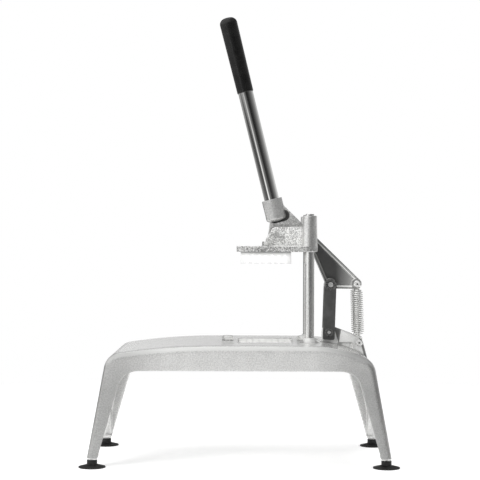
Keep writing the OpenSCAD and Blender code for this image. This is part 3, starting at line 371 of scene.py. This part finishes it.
    def edges(self, radius_mm):
        """Lets the light round off sharp edges."""
        node = self.add("ShaderNodeBevel", samples=BEVEL_RAYS)
        node.inputs["Radius"].default_value = radius_mm * MM
        self.normal = node.outputs[0]
        self.give(Normal=self.normal)

    def bump(self, height, depth_mm, strength):
        node = self.add("ShaderNodeBump")
        node.inputs["Strength"].default_value = strength
        node.inputs["Distance"].default_value = depth_mm * MM
        self.feed(node.inputs["Height"], height)
        if self.normal is not None:
            self.feed(node.inputs["Normal"], self.normal)
        self.normal = node.outputs[0]
        self.give(Normal=self.normal)


def base_casting():
    """Tumbled aluminium: sandy walls, painted shade on the walls and legs, painted light and shade
    on what stands on the deck, and a smooth deck that mirrors what is on it.
    """
    finish = Finish("cast_base")
    sand, mixed = finish.mottled(1.9, 0.88)

    # The base itself, by height and by the way it faces
    deck = finish.facing("z", 0.8, 0.98)
    crest = finish.times(finish.facing("z", 0.22, 0.4), finish.facing("z", 0.93, 0.8))
    sideways = finish.flank(0.12, 0.4)
    outward = finish.spread(finish.times(finish.along("y"), finish.facing("y")), -0.02, 0.0)
    walls = finish.along("z", *WALL_Z)
    ends = finish.times(finish.across("x", *LEG_X), walls)
    leg_edge_painted_highlight = finish.along("z", *LEG_EDGE_Z)

    # What stands on the deck, painted lighter as painted light, with painted light on its left
    # faces, painted shade on its right faces, and the lug's bevel
    lug = finish.times(finish.along("x", *LUG_X), finish.across("y", *LUG_Y))
    above = finish.most(finish.along("z", *STANDING_Z), lug)
    stands = finish.times(above, finish.facing("z", 0.8, 0.6))
    painted_light_left = finish.times(stands, finish.facing("x", -0.25, -0.6))
    painted_shade_right = finish.times(stands, finish.facing("x", 0.25, 0.6))
    bevel_x = finish.times(
        finish.along("x", *LUG_BEVEL_START_X), finish.along("x", *LUG_BEVEL_END_X))
    bevel = finish.times(stands, bevel_x, finish.facing("x", -0.1, -0.28))
    from_side = finish.less(
        finish.leaning_line(LUG_SIDE_PLACE, LUG_SIDE_LEAN), finish.along("x"))
    lug_side_painted_shade = finish.times(
        finish.spread(from_side, *LUG_SIDE_WIDTH), stands, finish.along("x", *LUG_SIDE_X))
    from_right = finish.less(
        finish.along("x"), finish.leaning_line(WEDGE_RIGHT_PLACE, WEDGE_RIGHT_LEAN))
    from_left = finish.less(
        finish.along("x"), finish.leaning_line(WEDGE_LEFT_PLACE, WEDGE_LEFT_LEAN))
    # Painted shade in a wedge beside the links, where they shade the fin
    wedge_painted_shade = finish.times(
        finish.spread(from_right, WEDGE_BLUR, -WEDGE_BLUR),
        finish.spread(from_left, -WEDGE_BLUR, WEDGE_BLUR),
        finish.along("z", *WEDGE_Z))

    color = finish.grained(mixed, 0.4, 0.6, 0.66, 0.94)
    # Painted light: what stands on the deck is painted lighter than the walls
    color = finish.blend(stands, color, finish.grained(mixed, 0.4, 0.6, 0.86, 1.0))
    # Painted light and shade by the way faces turn: white left faces, dark right faces and lug
    # side, and a white painted highlight on the legs' lower edge; the crest is a plain grey
    tones = ((painted_light_left, 1.0), (painted_shade_right, 0.3), (crest, 0.84), (lug_side_painted_shade, 0.26), (leg_edge_painted_highlight, 1.0))
    for mask, tone in tones:
        color = finish.blend(mask, color, tone)
    # Painted shade: the outer faces of the walls a little darker, the legs more, the lower the
    # darker; the deck, what stands on it and the legs' lower edge are spared
    legs = finish.along("z", *LEG_Z, 0.62, 0.49)
    painted_shade = finish.between(ends, finish.between(walls, 1.0, 0.86), legs)
    painted_shade = finish.between(outward, 1.0, finish.between(deck, painted_shade, 1.0))
    for bright in (stands, leg_edge_painted_highlight):
        painted_shade = finish.between(bright, painted_shade, 1.0)
    # Colour darkened by painted shade: on the walls and legs, in the wedge beside the links, and in
    # creases
    finish.shade(color, painted_shade, finish.over(wedge_painted_shade, 1.0, 0.2), finish.open_to_light(14, 0.75))

    rough = finish.sanded(sand, 0.48, 0.34)
    rough = finish.between(finish.most(sideways, crest), rough, 0.3)
    rough = finish.between(bevel, rough, 0.24)
    rough = finish.between(deck, rough, finish.sanded(sand, 0.26, 0.2))
    metal = finish.between(stands, finish.between(sideways, 0.45, 0.85), 0.12)
    metal = finish.between(crest, metal, 0.5)
    metal = finish.between(bevel, metal, 0.9)
    finish.give(Roughness=rough, Metallic=metal)
    calm = finish.most(deck, crest)
    finish.bump(finish.times(mixed, finish.over(calm, 1.0, 0.15)), 0.45, 0.8)
    return finish


def head_casting():
    """Coarse sand-cast aluminium, its sandy speckle running up to white as a painted glint on each
    bright grain, which is also smoother, and two satin sleeves.
    """
    finish = Finish("cast_head")
    sand, mixed = finish.mottled(1.9, 0.85)

    offset = finish.add("ShaderNodeCombineXYZ")
    finish.feed(offset.inputs[0], finish.less(finish.along("x"), ROD_X))
    finish.feed(offset.inputs[1], finish.less(finish.across("y"), ROD_Y))
    from_rod = finish.add("ShaderNodeVectorMath", operation="LENGTH")
    finish.feed(from_rod.inputs[0], offset.outputs[0])
    sleeve = finish.spread(from_rod.outputs["Value"], *SLEEVE_EDGE)
    # The plate's rim is painted dark, as painted shade
    rim = finish.times(finish.along("z", *PLATE_RIM_Z), finish.facing("z", 0.6, 0.3),
                       finish.over(sleeve, 1.0, 0.3))
    # Faces that look up are painted white, as painted light from above
    painted_light_top = finish.times(finish.facing("z", 0.5, 0.8), finish.over(sleeve, 1.0, 0.5))

    color = finish.grained(mixed, 0.44, 0.56, 0.34, 1.0)
    color = finish.blend(sleeve, color, finish.grained(mixed, 0.42, 0.6, 0.68, 1.0))
    color = finish.blend(rim, color, finish.grained(mixed, 0.44, 0.58, 0.2, 0.85))
    color = finish.blend(painted_light_top, color, 1.0)
    # Painted shade in creases
    finish.shade(color, finish.open_to_light(6, 0.6))
    finish.give(Roughness=finish.between(sleeve, finish.sanded(sand, 0.46, 0.3), 0.3),
                Metallic=finish.between(sleeve, finish.over(painted_light_top, 0.36, 0.1), 0.9))
    finish.bump(finish.times(mixed, finish.over(sleeve, 1.0, 0.45)), 1.1, 0.9)
    return finish


def lever_casting():
    """A satin socket, a sandy gusset, and an arm whose web and rim are painted dark as shade, with
    painted light and shade on its pocket walls.
    """
    finish = Finish("cast_lever")
    sand, mixed = finish.mottled(1.8, 0.8)

    up_handle = finish.less(finish.times(finish.along("z"), math.cos(HANDLE_LEAN)),
                            finish.times(finish.along("x"), math.sin(HANDLE_LEAN)))
    foot_x, foot_z = SOCKET_FOOT_PLACE
    foot = foot_z * math.cos(HANDLE_LEAN) - foot_x * math.sin(HANDLE_LEAN)
    over_foot = finish.spread(up_handle, *(foot + step for step in SOCKET_FOOT_STEP))
    socket = finish.times(over_foot, finish.across("y", *SOCKET_Y))
    arm = finish.along("x", *ARM_X)
    tail = finish.along("x", *TAIL_X)
    web = finish.across("y", *WEB_Y)
    pocket_wall = finish.times(finish.across("y", *POCKET_WALL_Y), arm)
    rim = finish.times(finish.across("y", *RIM_Y), arm, finish.over(tail, 1.0, 0.2))

    # Painted light on the pocket walls, white, with painted shade where they face right
    walls_painted_light_and_shade = finish.blend(finish.facing("x", 0.1, 0.4), 1.0, 0.3)
    rough_color = finish.grained(mixed, 0.4, 0.62, 0.34, 0.84)
    rough_color = finish.blend(pocket_wall, rough_color, walls_painted_light_and_shade)
    # The rim is painted dark, as painted shade
    rough_color = finish.blend(rim, rough_color, 0.3)
    # The web is painted dark as painted shade, lighter towards the tail
    web_painted_shade = finish.blend(tail, 0.15, 0.62)
    satin_color = finish.grained(mixed, 0.4, 0.62, 0.44, 0.68)
    color = finish.blend(socket, finish.blend(web, rough_color, web_painted_shade), satin_color)
    free = finish.most(finish.along("z", *SOCKET_CLEAR_Z), pocket_wall)
    # Painted shade in creases, except above SOCKET_CLEAR_Z and on the pocket walls
    finish.shade(color, finish.between(free, finish.open_to_light(5, 0.6), 1.0))

    rough = finish.between(web, finish.sanded(sand, 0.44, 0.3), 0.4)
    cast = finish.between(rim, finish.between(pocket_wall, 0.6, 0.0), 0.9)
    finish.give(Roughness=finish.between(socket, rough, 0.34),
                Metallic=finish.between(web, cast, finish.over(tail, 0.95, 0.6)))
    flat = finish.most(web, finish.times(socket, 0.55))
    flat = finish.most(flat, finish.times(arm, 0.8))
    finish.bump(finish.times(mixed, finish.over(flat, 1.0, 0.08)), 0.9, 0.9)
    return finish


def drawn_steel(name, tone, low, high):
    """Drawn or ground bar: fine streaks up its length over a few soft clouds."""
    finish = Finish(name, 1.0)
    finish.clouded(14, 2.0, tone * 0.93, tone)
    finish.gloss(finish.noise(0.35, stretch=BAR_STRETCH), low, high)
    return finish


def plate_steel():
    """Rolled plate for the links: dark, with long rolling marks and rubbed edges."""
    finish = Finish("plate_links", 1.0)
    finish.edges(0.5)
    finish.clouded(11, 3.0, 0.17, 0.24)
    rolled = finish.noise(0.9, 3.0, stretch=(1, 1, 14))
    finish.gloss(rolled, 0.3, 0.42)
    finish.bump(rolled, 0.02, 0.5)
    return finish


def dark_steel():
    """Oiled steel of the link washers, with painted shade round the pins."""
    finish = Finish("oiled_steel", 0.9)
    finish.edges(0.3)
    clouds, color = finish.clouded(2.5, 3.0, 0.2, 0.34)
    finish.shade(color, finish.open_to_light(3.0, 0.1))
    finish.gloss(clouds, 0.22, 0.36)
    finish.bump(finish.noise(0.5), 0.01, 0.4)
    return finish


def pin_steel():
    """Turned pin ends, grey and rubbed."""
    finish = Finish("pin_steel_rubbed", 0.35)
    finish.edges(0.4)
    clouds, _ = finish.clouded(2.0, 3.0, 0.36, 0.62)
    finish.gloss(clouds, 0.28, 0.4)
    finish.bump(finish.noise(0.5), 0.01, 0.4)
    return finish


def zinc_plate():
    """Bright zinc on the screws, nuts and washers, slightly cloudy, a mirror on its flanks."""
    finish = Finish("plated_zinc")
    finish.edges(0.35)
    clouds, color = finish.clouded(3.0, 3.0, 0.76, 0.96)
    # Painted shade where the screws, nuts and washers meet other parts
    finish.shade(color, finish.open_to_light(3.0, 0.25))
    finish.give(Metallic=finish.over(finish.flank(0.2, 0.5), 0.3, 0.9))
    finish.gloss(clouds, 0.16, 0.3)
    finish.bump(finish.noise(0.5), 0.01, 0.4)
    return finish


def blade_sheet():
    """Stainless sheet, brushed and washed to a matt satin."""
    finish = Finish("blade_stainless", 0.18)
    finish.edges(0.3)
    finish.clouded(16, 2.0, 0.9, 1.0)
    brushed = finish.noise(0.25, stretch=(30, 1, 1))
    finish.gloss(brushed, 0.36, 0.5)
    finish.bump(brushed, 0.006, 0.5)
    return finish


def spring_steel():
    """Bright spring wire with fine drawing marks, and painted shade between the turns."""
    finish = Finish("spring_wire_bright", 1.0)
    _, color = finish.clouded(4.0, 2.0, 0.93, 1.0)
    finish.shade(color, finish.open_to_light(3.0, 0.08, 0.22, 0.55))
    finish.gloss(finish.noise(0.4), 0.14, 0.26)
    finish.bump(finish.noise(0.3, stretch=(1, 1, 4)), 0.006, 0.4)
    return finish


def bronze_bush():
    """Oil-filled sintered bronze, open-pored."""
    finish = Finish("bronze_sintered", 1.0)
    pores = finish.noise(0.5)
    finish.give(Base_Color=finish.grained(pores, 0.35, 0.6, (0.4, 0.26, 0.13), (0.6, 0.42, 0.23)))
    finish.gloss(pores, 0.34, 0.5)
    finish.bump(pores, 0.02, 0.5)
    return finish


def white_nylon():
    """Milled food-grade plastic, milky and faintly clouded, with fine milling marks.

    A faint painted glow stands in for the light that crosses between the prongs; the flange has
    none, and is darkened by painted shade under the plate.
    """
    finish = Finish("nylon_white", Subsurface_Weight=1.0, Subsurface_Scale=0.012,
                    Subsurface_Radius=(1, 1, 1), Emission_Color=(1, 1, 1, 1))
    finish.edges(0.4)
    _, color = finish.clouded(9.0, 2.0, (0.9, 0.9, 0.89), (0.94, 0.94, 0.93))
    flange = finish.along("z", *FLANGE_Z)
    # Painted shade on the flange under the plate
    finish.shade(color, finish.over(flange, 1.0, 0.75))
    finish.gloss(finish.noise(1.2), 0.36, 0.5)
    finish.bump(finish.noise(0.6, stretch=(6, 1, 1)), 0.01, 0.4)
    enclosed = finish.spread(finish.open_to_light(9, 0.0), 0, 0.9, 1.0, 0.0)
    finish.give(
        Emission_Strength=finish.times(finish.over(flange, 1.0, 0.0), 0.34, enclosed))
    return finish


def black_rubber():
    """Moulded rubber for the suction cups, with a patchy dusty bloom."""
    finish = Finish("rubber_black", Specular_IOR_Level=0.3)
    bloom = finish.noise(5.0, 4.0)
    finish.give(Base_Color=finish.grained(bloom, 0.35, 0.75, 0.006, 0.03))
    finish.gloss(bloom, 0.36, 0.6)
    finish.bump(finish.noise(0.5), 0.02, 0.4)
    return finish


def black_vinyl():
    """The dipped grip: semi-gloss black with a slight orange peel and rubbed patches."""
    finish = Finish("vinyl_black", Specular_IOR_Level=0.45)
    rubbed = finish.noise(12.0, 4.0)
    finish.give(Base_Color=finish.grained(rubbed, 0.35, 0.75, 0.006, 0.013))
    finish.gloss(rubbed, 0.2, 0.3)
    finish.bump(finish.noise(1.6), 0.02, 0.4)
    return finish


# Which piece has which finish

# Nodes whose finish differs from the rest of their slot
OWN_FINISH = {
    # The far rod has a darker copy of the rod finish, as painted shade
    "guide_rod_far": "painted_shade_rod",
    "handle_tube": "tube",
    "head_pivot_pin": "pin_ends",
    "link_washers_upper": "oiled",
    "link_washers_lower": "oiled",
    "link_pins_upper": "pin_ends",
    "link_pin_lower": "pin_ends",
}


def make_finishes():
    """The finish of every slot, and of every name in OWN_FINISH."""
    made = {
        "base_casting": base_casting(),
        "head_casting": head_casting(),
        "lever_casting": lever_casting(),
        "link_steel": plate_steel(),
        "polished_steel": drawn_steel("ground_steel", 0.95, 0.2, 0.22),
        # A darker copy of the ground steel, painted shade for the far rod
        "painted_shade_rod": drawn_steel("rod_painted_shade", 0.6, 0.22, 0.26),
        "tube": drawn_steel("bright_tube", 0.88, 0.06, 0.09),
        "oiled": dark_steel(),
        "pin_ends": pin_steel(),
        "plated_steel": zinc_plate(),
        "blade_steel": blade_sheet(),
        "spring_wire": spring_steel(),
        "bronze": bronze_bush(),
        "white_plastic": white_nylon(),
        "black_rubber": black_rubber(),
        "black_vinyl": black_vinyl(),
    }
    return {slot: finish.material for slot, finish in made.items()}


def finish_nodes(finishes):
    """Puts the finishes on the CAD pieces. All the slots are read before the first one changes."""
    slots = {name: node.data.materials[0].name for name, node in nodes.items()}
    for name, node in nodes.items():
        node.material_slots[0].material = finishes[OWN_FINISH.get(name, slots[name])]


# Castings

# Each casting's node, the name of its rounded copy, the body that the copy rides on, the voxels'
# size in mm, the rounds of smoothing, and the slot.
CASTINGS = (
    ("base_frame", "base_skin", "base", 1.2, 4, "base_casting"),
    ("pusher_head", "head_skin", "head", 0.8, 3, "head_casting"),
    ("lever", "lever_skin", "lever", 0.55, 2, "lever_casting"),
)
SMOOTH_SHARE = 0.5


def rounded_copy(node, name, body, voxel_mm, rounds, finish):
    """A casting as its sand mould leaves it: the CAD solid with every edge softened."""
    work = bpy.data.objects.new(name + "_work", nodes[node].data.copy())
    scene.collection.objects.link(work)
    remesh = work.modifiers.new("skin", "REMESH")
    remesh.mode = "VOXEL"
    remesh.voxel_size = voxel_mm * MM
    remesh.use_smooth_shade = True
    smooth = work.modifiers.new("soften", "SMOOTH")
    smooth.factor = SMOOTH_SHARE
    smooth.iterations = rounds
    depsgraph = bpy.context.evaluated_depsgraph_get()
    shaped = bpy.data.meshes.new_from_object(work.evaluated_get(depsgraph))
    bpy.data.objects.remove(work)
    shaped.name = name
    shaped.materials.clear()
    shaped.materials.append(finish)
    for face in shaped.polygons:
        face.use_smooth = True
        face.material_index = 0
    piece = bpy.data.objects.new(name, shaped)
    scene.collection.objects.link(piece)
    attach(piece, body)
    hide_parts(node)


# Return springs, with the sizes of the part's source. Each stands on its foot and leans towards -x.

SPRING_FOOT_MM = (176.0, 17.0, 170.4)
SPRING_LEAN = (-0.0380512, 0.999276)
SPRING_LENGTH_MM = 86.4279
WIRE_MM = 2.1
LOOP_R_MM = 4.4
COIL_R_MM = 7.2
COIL_LOW_MM = 11.5
COIL_HIGH_MM = 8.5
COIL_TURNS = 22
CONE_TURNS = 1.6
LOOP_DEG = 225
LEAD_DEG = 180
LEAD_START_MM = 1.32
PITCH_MM = (SPRING_LENGTH_MM - COIL_LOW_MM - COIL_HIGH_MM) / COIL_TURNS
STEPS_A_TURN = 28
WIRE_SIDES = 12
CORNER_ROUNDS = 2


def polar(radius, degrees, height):
    angle = math.radians(degrees)
    return Vector((radius * math.cos(angle), radius * math.sin(angle), height))


def loop_point(degrees, height):
    angle = math.radians(degrees)
    return Vector((LOOP_R_MM * math.cos(angle), 0, height + LOOP_R_MM * math.sin(angle)))


def coil_radius(turn):
    """The coil narrows to the loops' radius over its first and last turns."""
    end = min(turn, COIL_TURNS - turn) / CONE_TURNS
    return LOOP_R_MM + (COIL_R_MM - LOOP_R_MM) * math.sin(math.radians(90 * min(end, 1)))


def lead_height(share, height):
    """How high the wire is between a loop and the coil, which it meets at the coil's pitch."""
    eased = 1 - (1 - share) ** 2
    return LEAD_START_MM + (height - LEAD_START_MM - PITCH_MM) * eased + PITCH_MM * share


def spring_path():
    """The wire's middle line, from the lower loop's cut end to the upper loop's."""
    loop_steps = round(STEPS_A_TURN * LOOP_DEG / 360)
    lead_steps = STEPS_A_TURN
    points = []
    for step in range(loop_steps):
        points.append(loop_point(-LOOP_DEG * (1 - step / loop_steps), 0))
    for step in range(lead_steps):
        share = step / lead_steps
        points.append(polar(LOOP_R_MM, LEAD_DEG * share ** 2, lead_height(share, COIL_LOW_MM)))
    points[loop_steps].z = 0
    for step in range(COIL_TURNS * STEPS_A_TURN + 1):
        turn = step / STEPS_A_TURN
        height = COIL_LOW_MM + PITCH_MM * turn
        points.append(polar(coil_radius(turn), LEAD_DEG + 360 * turn, height))
    for step in range(1, lead_steps + 1):
        share = 1 - step / lead_steps
        height = SPRING_LENGTH_MM - lead_height(share, COIL_HIGH_MM)
        points.append(polar(LOOP_R_MM, -LEAD_DEG * share ** 2, height))
    points[-1].z = SPRING_LENGTH_MM
    for step in range(1, loop_steps + 1):
        points.append(loop_point(LOOP_DEG * step / loop_steps, SPRING_LENGTH_MM))
    return points


def evened(points):
    """Rounds the corners where the wire turns from a loop into the coil, ends kept."""
    for _ in range(CORNER_ROUNDS):
        inner = [
            (points[i - 1] + points[i] * 2 + points[i + 1]) / 4
            for i in range(1, len(points) - 1)
        ]
        points = [points[0], *inner, points[-1]]
    return points


def wire_mesh(name, points):
    """A closed round wire along the points, its rings turned as little as possible."""
    verts = []
    faces = []
    normal = Vector((0, 1, 0))
    count = len(points)
    for index, point in enumerate(points):
        ahead = points[min(index + 1, count - 1)]
        behind = points[max(index - 1, 0)]
        tangent = (ahead - behind).normalized()
        normal = (normal - tangent * normal.dot(tangent)).normalized()
        side = tangent.cross(normal)
        for corner in range(WIRE_SIDES):
            angle = 2 * math.pi * corner / WIRE_SIDES
            out = normal * math.cos(angle) + side * math.sin(angle)
            verts.append(point + out * (WIRE_MM / 2))
    for ring in range(count - 1):
        for corner in range(WIRE_SIDES):
            after = (corner + 1) % WIRE_SIDES
            low = ring * WIRE_SIDES
            high = low + WIRE_SIDES
            faces.append((low + corner, low + after, high + after, high + corner))
    faces.append(tuple(reversed(range(WIRE_SIDES))))
    faces.append(tuple(range((count - 1) * WIRE_SIDES, count * WIRE_SIDES)))
    mesh = bpy.data.meshes.new(name)
    mesh.from_pydata([v * MM for v in verts], [], faces)
    mesh.update()
    for face in mesh.polygons:
        face.use_smooth = len(face.vertices) == 4
    return mesh


def return_spring(name, node, side, material):
    """A spring on the near side (-1) or the far side (1), stretched between its two screws."""
    lean = Matrix.Rotation(math.atan2(*SPRING_LEAN), 4, "Y")
    foot = Vector(SPRING_FOOT_MM)
    foot.y *= side
    points = [
        foot + lean @ Vector((point.x, point.y * side, point.z))
        for point in evened(spring_path())
    ]
    mesh = wire_mesh(name, points)
    mesh.materials.append(material)
    piece = bpy.data.objects.new(name, mesh)
    scene.collection.objects.link(piece)
    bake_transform(piece)
    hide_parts(node)


# Camera, lamps, floor and sky

def add_camera():
    data = bpy.data.cameras.new("camera")
    data.lens = CAMERA_LENS_MM
    data.sensor_width = CAMERA_SENSOR_MM
    data.clip_end = CAMERA_REACH
    camera = bpy.data.objects.new("camera", data)
    camera.location = CAMERA_PLACE
    camera.rotation_euler = (math.radians(90), math.radians(-CAMERA_ROLL_DEG), 0)
    scene.collection.objects.link(camera)
    scene.camera = camera


def add_lamps():
    for name, place, size, watts in LAMPS:
        data = bpy.data.lights.new(name, "AREA")
        data.shape = "RECTANGLE"
        data.size, data.size_y = size
        data.energy = watts
        lamp = bpy.data.objects.new(name, data)
        lamp.location = place
        lamp.visible_glossy = False
        scene.collection.objects.link(lamp)
        way = Vector(LAMP_TARGET) - lamp.location
        lamp.rotation_euler = way.to_track_quat("-Z", "Y").to_euler()


def floor_white():
    """Matte white with a glow that only the camera and mirrors see, so it lights nothing."""
    material = bpy.data.materials.new("floor_white")
    material.use_nodes = True
    tree = material.node_tree
    tree.nodes.clear()
    link = tree.links.new
    rays = new_node(tree, "ShaderNodeLightPath")
    mirrored = new_node(tree, "ShaderNodeMath", operation="MAXIMUM")
    link(rays.outputs["Is Glossy Ray"], mirrored.inputs[0])
    link(rays.outputs["Is Transmission Ray"], mirrored.inputs[1])
    shown = new_node(tree, "ShaderNodeMath", operation="MAXIMUM")
    link(rays.outputs["Is Camera Ray"], shown.inputs[0])
    link(mirrored.outputs[0], shown.inputs[1])
    strength = new_node(tree, "ShaderNodeMath", operation="MULTIPLY")
    link(shown.outputs[0], strength.inputs[0])
    strength.inputs[1].default_value = FLOOR_GLOW
    glow = new_node(tree, "ShaderNodeEmission")
    link(strength.outputs[0], glow.inputs["Strength"])
    matte = new_node(tree, "ShaderNodeBsdfDiffuse")
    matte.inputs["Color"].default_value = (FLOOR_GREY, FLOOR_GREY, FLOOR_GREY, 1)
    both = new_node(tree, "ShaderNodeAddShader")
    link(matte.outputs[0], both.inputs[0])
    link(glow.outputs[0], both.inputs[1])
    output = new_node(tree, "ShaderNodeOutputMaterial")
    link(both.outputs[0], output.inputs["Surface"])
    return material


def add_floor():
    """A pale round floor: it keeps the object's shadow, and is white beyond it."""
    mesh = bpy.data.meshes.new("floor")
    angles = [2 * math.pi * i / FLOOR_SIDES for i in range(FLOOR_SIDES)]
    rim = [(FLOOR_RADIUS * math.cos(a), FLOOR_RADIUS * math.sin(a), 0) for a in angles]
    mesh.from_pydata(rim, [], [tuple(range(FLOOR_SIDES))])
    mesh.materials.append(floor_white())
    floor = bpy.data.objects.new("floor", mesh)
    scene.collection.objects.link(floor)


def sky_row(tree, around, row):
    """One row of brightness round the cutter, as shares of SKY_TOP."""
    bands = new_node(tree, "ShaderNodeValToRGB")
    stops = bands.color_ramp.elements
    for index, (degrees, level) in enumerate(row):
        at = (degrees + 180) / 360
        stop = stops[index] if index < 2 else stops.new(at)
        stop.position = at
        stop.color = (level / SKY_TOP, level / SKY_TOP, level / SKY_TOP, 1)
    tree.links.new(around, bands.inputs["Fac"])
    return bands.outputs["Color"]


def sky_color(tree):
    """The rows of SKY_ROWS, each blended into the next by height."""
    link = tree.links.new
    way = new_node(tree, "ShaderNodeTexCoord")
    split = new_node(tree, "ShaderNodeSeparateXYZ")
    link(way.outputs["Generated"], split.inputs[0])
    flip = new_node(tree, "ShaderNodeMath", operation="MULTIPLY")
    link(split.outputs["Y"], flip.inputs[0])
    flip.inputs[1].default_value = -1.0
    turn = new_node(tree, "ShaderNodeMath", operation="ARCTAN2")
    link(split.outputs["X"], turn.inputs[0])
    link(flip.outputs[0], turn.inputs[1])
    around = new_node(tree, "ShaderNodeMapRange")
    link(turn.outputs[0], around.inputs["Value"])
    around.inputs["From Min"].default_value = -math.pi
    around.inputs["From Max"].default_value = math.pi
    heights = [math.sin(math.radians(height)) for height, _ in SKY_ROWS]
    colors = [sky_row(tree, around.outputs[0], row) for _, row in SKY_ROWS]
    sky = colors[0]
    for index in range(1, len(SKY_ROWS)):
        climb = new_node(tree, "ShaderNodeMapRange")
        climb.inputs["From Min"].default_value = heights[index - 1]
        climb.inputs["From Max"].default_value = heights[index]
        link(split.outputs["Z"], climb.inputs["Value"])
        layer = new_node(tree, "ShaderNodeMix", data_type="RGBA")
        link(climb.outputs[0], layer.inputs["Factor"])
        link(sky, layer.inputs[MIX_A])
        link(colors[index], layer.inputs[MIX_B])
        sky = layer.outputs[MIX_RESULT]
    bright = new_node(tree, "ShaderNodeVectorMath", operation="SCALE")
    link(sky, bright.inputs[0])
    bright.inputs["Scale"].default_value = SKY_TOP
    return bright.outputs[0]


def add_world():
    """White to the camera, a soft even light on everything, and bands of a studio in the metal."""
    world = bpy.data.worlds.new("studio")
    world.use_nodes = True
    scene.world = world
    tree = world.node_tree
    tree.nodes.clear()
    link = tree.links.new
    rays = new_node(tree, "ShaderNodeLightPath")
    mirrored = new_node(tree, "ShaderNodeMix", data_type="RGBA")
    link(rays.outputs["Is Glossy Ray"], mirrored.inputs["Factor"])
    mirrored.inputs[MIX_A].default_value = (AMBIENT, AMBIENT, AMBIENT, 1)
    link(sky_color(tree), mirrored.inputs[MIX_B])
    plain = new_node(tree, "ShaderNodeMath", operation="MAXIMUM")
    link(rays.outputs["Is Camera Ray"], plain.inputs[0])
    link(rays.outputs["Is Transmission Ray"], plain.inputs[1])
    white = new_node(tree, "ShaderNodeMix", data_type="RGBA")
    link(plain.outputs[0], white.inputs["Factor"])
    link(mirrored.outputs[MIX_RESULT], white.inputs[MIX_A])
    white.inputs[MIX_B].default_value = (1, 1, 1, 1)
    background = new_node(tree, "ShaderNodeBackground")
    link(white.outputs[MIX_RESULT], background.inputs["Color"])
    output = new_node(tree, "ShaderNodeOutputWorld")
    link(background.outputs[0], output.inputs["Surface"])


def dress():
    finishes = make_finishes()
    finish_nodes(finishes)
    for node, name, body, voxel_mm, rounds, slot in CASTINGS:
        rounded_copy(node, name, body, voxel_mm, rounds, finishes[slot])
    return_spring("spring_wire_near", "return_spring_near", -1, finishes["spring_wire"])
    return_spring("spring_wire_far", "return_spring_far", 1, finishes["spring_wire"])


scene.view_settings.view_transform = "Standard"
add_camera()
add_world()
add_lamps()
add_floor()
dress()
